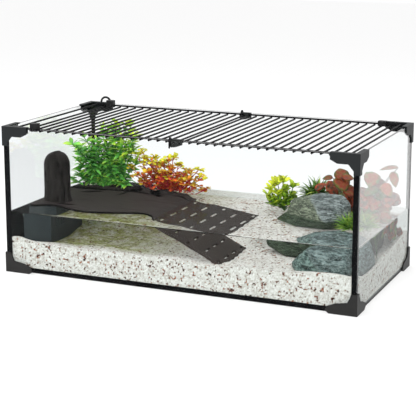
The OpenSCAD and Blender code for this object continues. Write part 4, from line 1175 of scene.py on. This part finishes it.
# Studio: white surroundings for what is seen, plain light on the object
studio = {"worldLight": 0.72, "floorTone": 0.42, "floorGlow": 0.6, "floorHalf": 6}
world = bpy.data.worlds.new("studio")
bpy.context.scene.world = world
world.use_nodes = True
sky = world.node_tree
skyPath = addNode(sky, "ShaderNodeLightPath").outputs
seen = mathNode(sky, "MAXIMUM", skyPath["Is Camera Ray"], skyPath["Is Glossy Ray"])
seen = mathNode(sky, "MAXIMUM", seen, skyPath["Is Transmission Ray"])
strength = addNode(sky, "ShaderNodeMapRange", Value=seen, To_Min=studio["worldLight"], To_Max=1.0)
fill(sky, sky.nodes["Background"], Color=(1, 1, 1), Strength=strength.outputs[0])

floorPaper, floorTree, floorShader = newMaterial(
    "floorPaper", Base_Color=(studio["floorTone"],) * 3, Roughness=0.9,
)
floorGlow = addNode(floorTree, "ShaderNodeEmission", Color=(1, 1, 1), Strength=studio["floorGlow"])
floorSum = joinNode(floorTree, "ShaderNodeAddShader", floorShader.outputs[0], floorGlow.outputs[0])
fill(floorTree, floorTree.nodes["Material Output"], Surface=floorSum)
half = studio["floorHalf"]
floorMesh = bpy.data.meshes.new("studioFloor")
corners = [(-half, -half, 0), (half, -half, 0), (half, half, 0), (-half, half, 0)]
floorMesh.from_pydata(corners, [], [(0, 1, 2, 3)])
floorMesh.materials.append(floorPaper)
studioFloor = bpy.data.objects.new("studioFloor", floorMesh)
bpy.context.collection.objects.link(studioFloor)


def addLamp(name, place, aim, size, power):
    data = bpy.data.lights.new(name, "AREA")
    data.energy = power
    data.size = size
    lamp = bpy.data.objects.new(name, data)
    lamp.location = place
    lamp.rotation_euler = (Vector(aim) - Vector(place)).to_track_quat("-Z", "Y").to_euler()
    lamp.visible_glossy = False
    lamp.visible_transmission = False
    bpy.context.collection.objects.link(lamp)


addLamp("keyLamp", place=(-1.1, -1.3, 1.9), aim=(0, 0, 0.1), size=1.0, power=27)
addLamp("fillLamp", place=(0.5, -2.0, 0.42), aim=(-0.05, 0, 0.06), size=1.2, power=13)
addLamp("topLamp", place=(0.1, 0.3, 1.9), aim=(0, 0, 0.1), size=1.2, power=18)
print("studio lit")
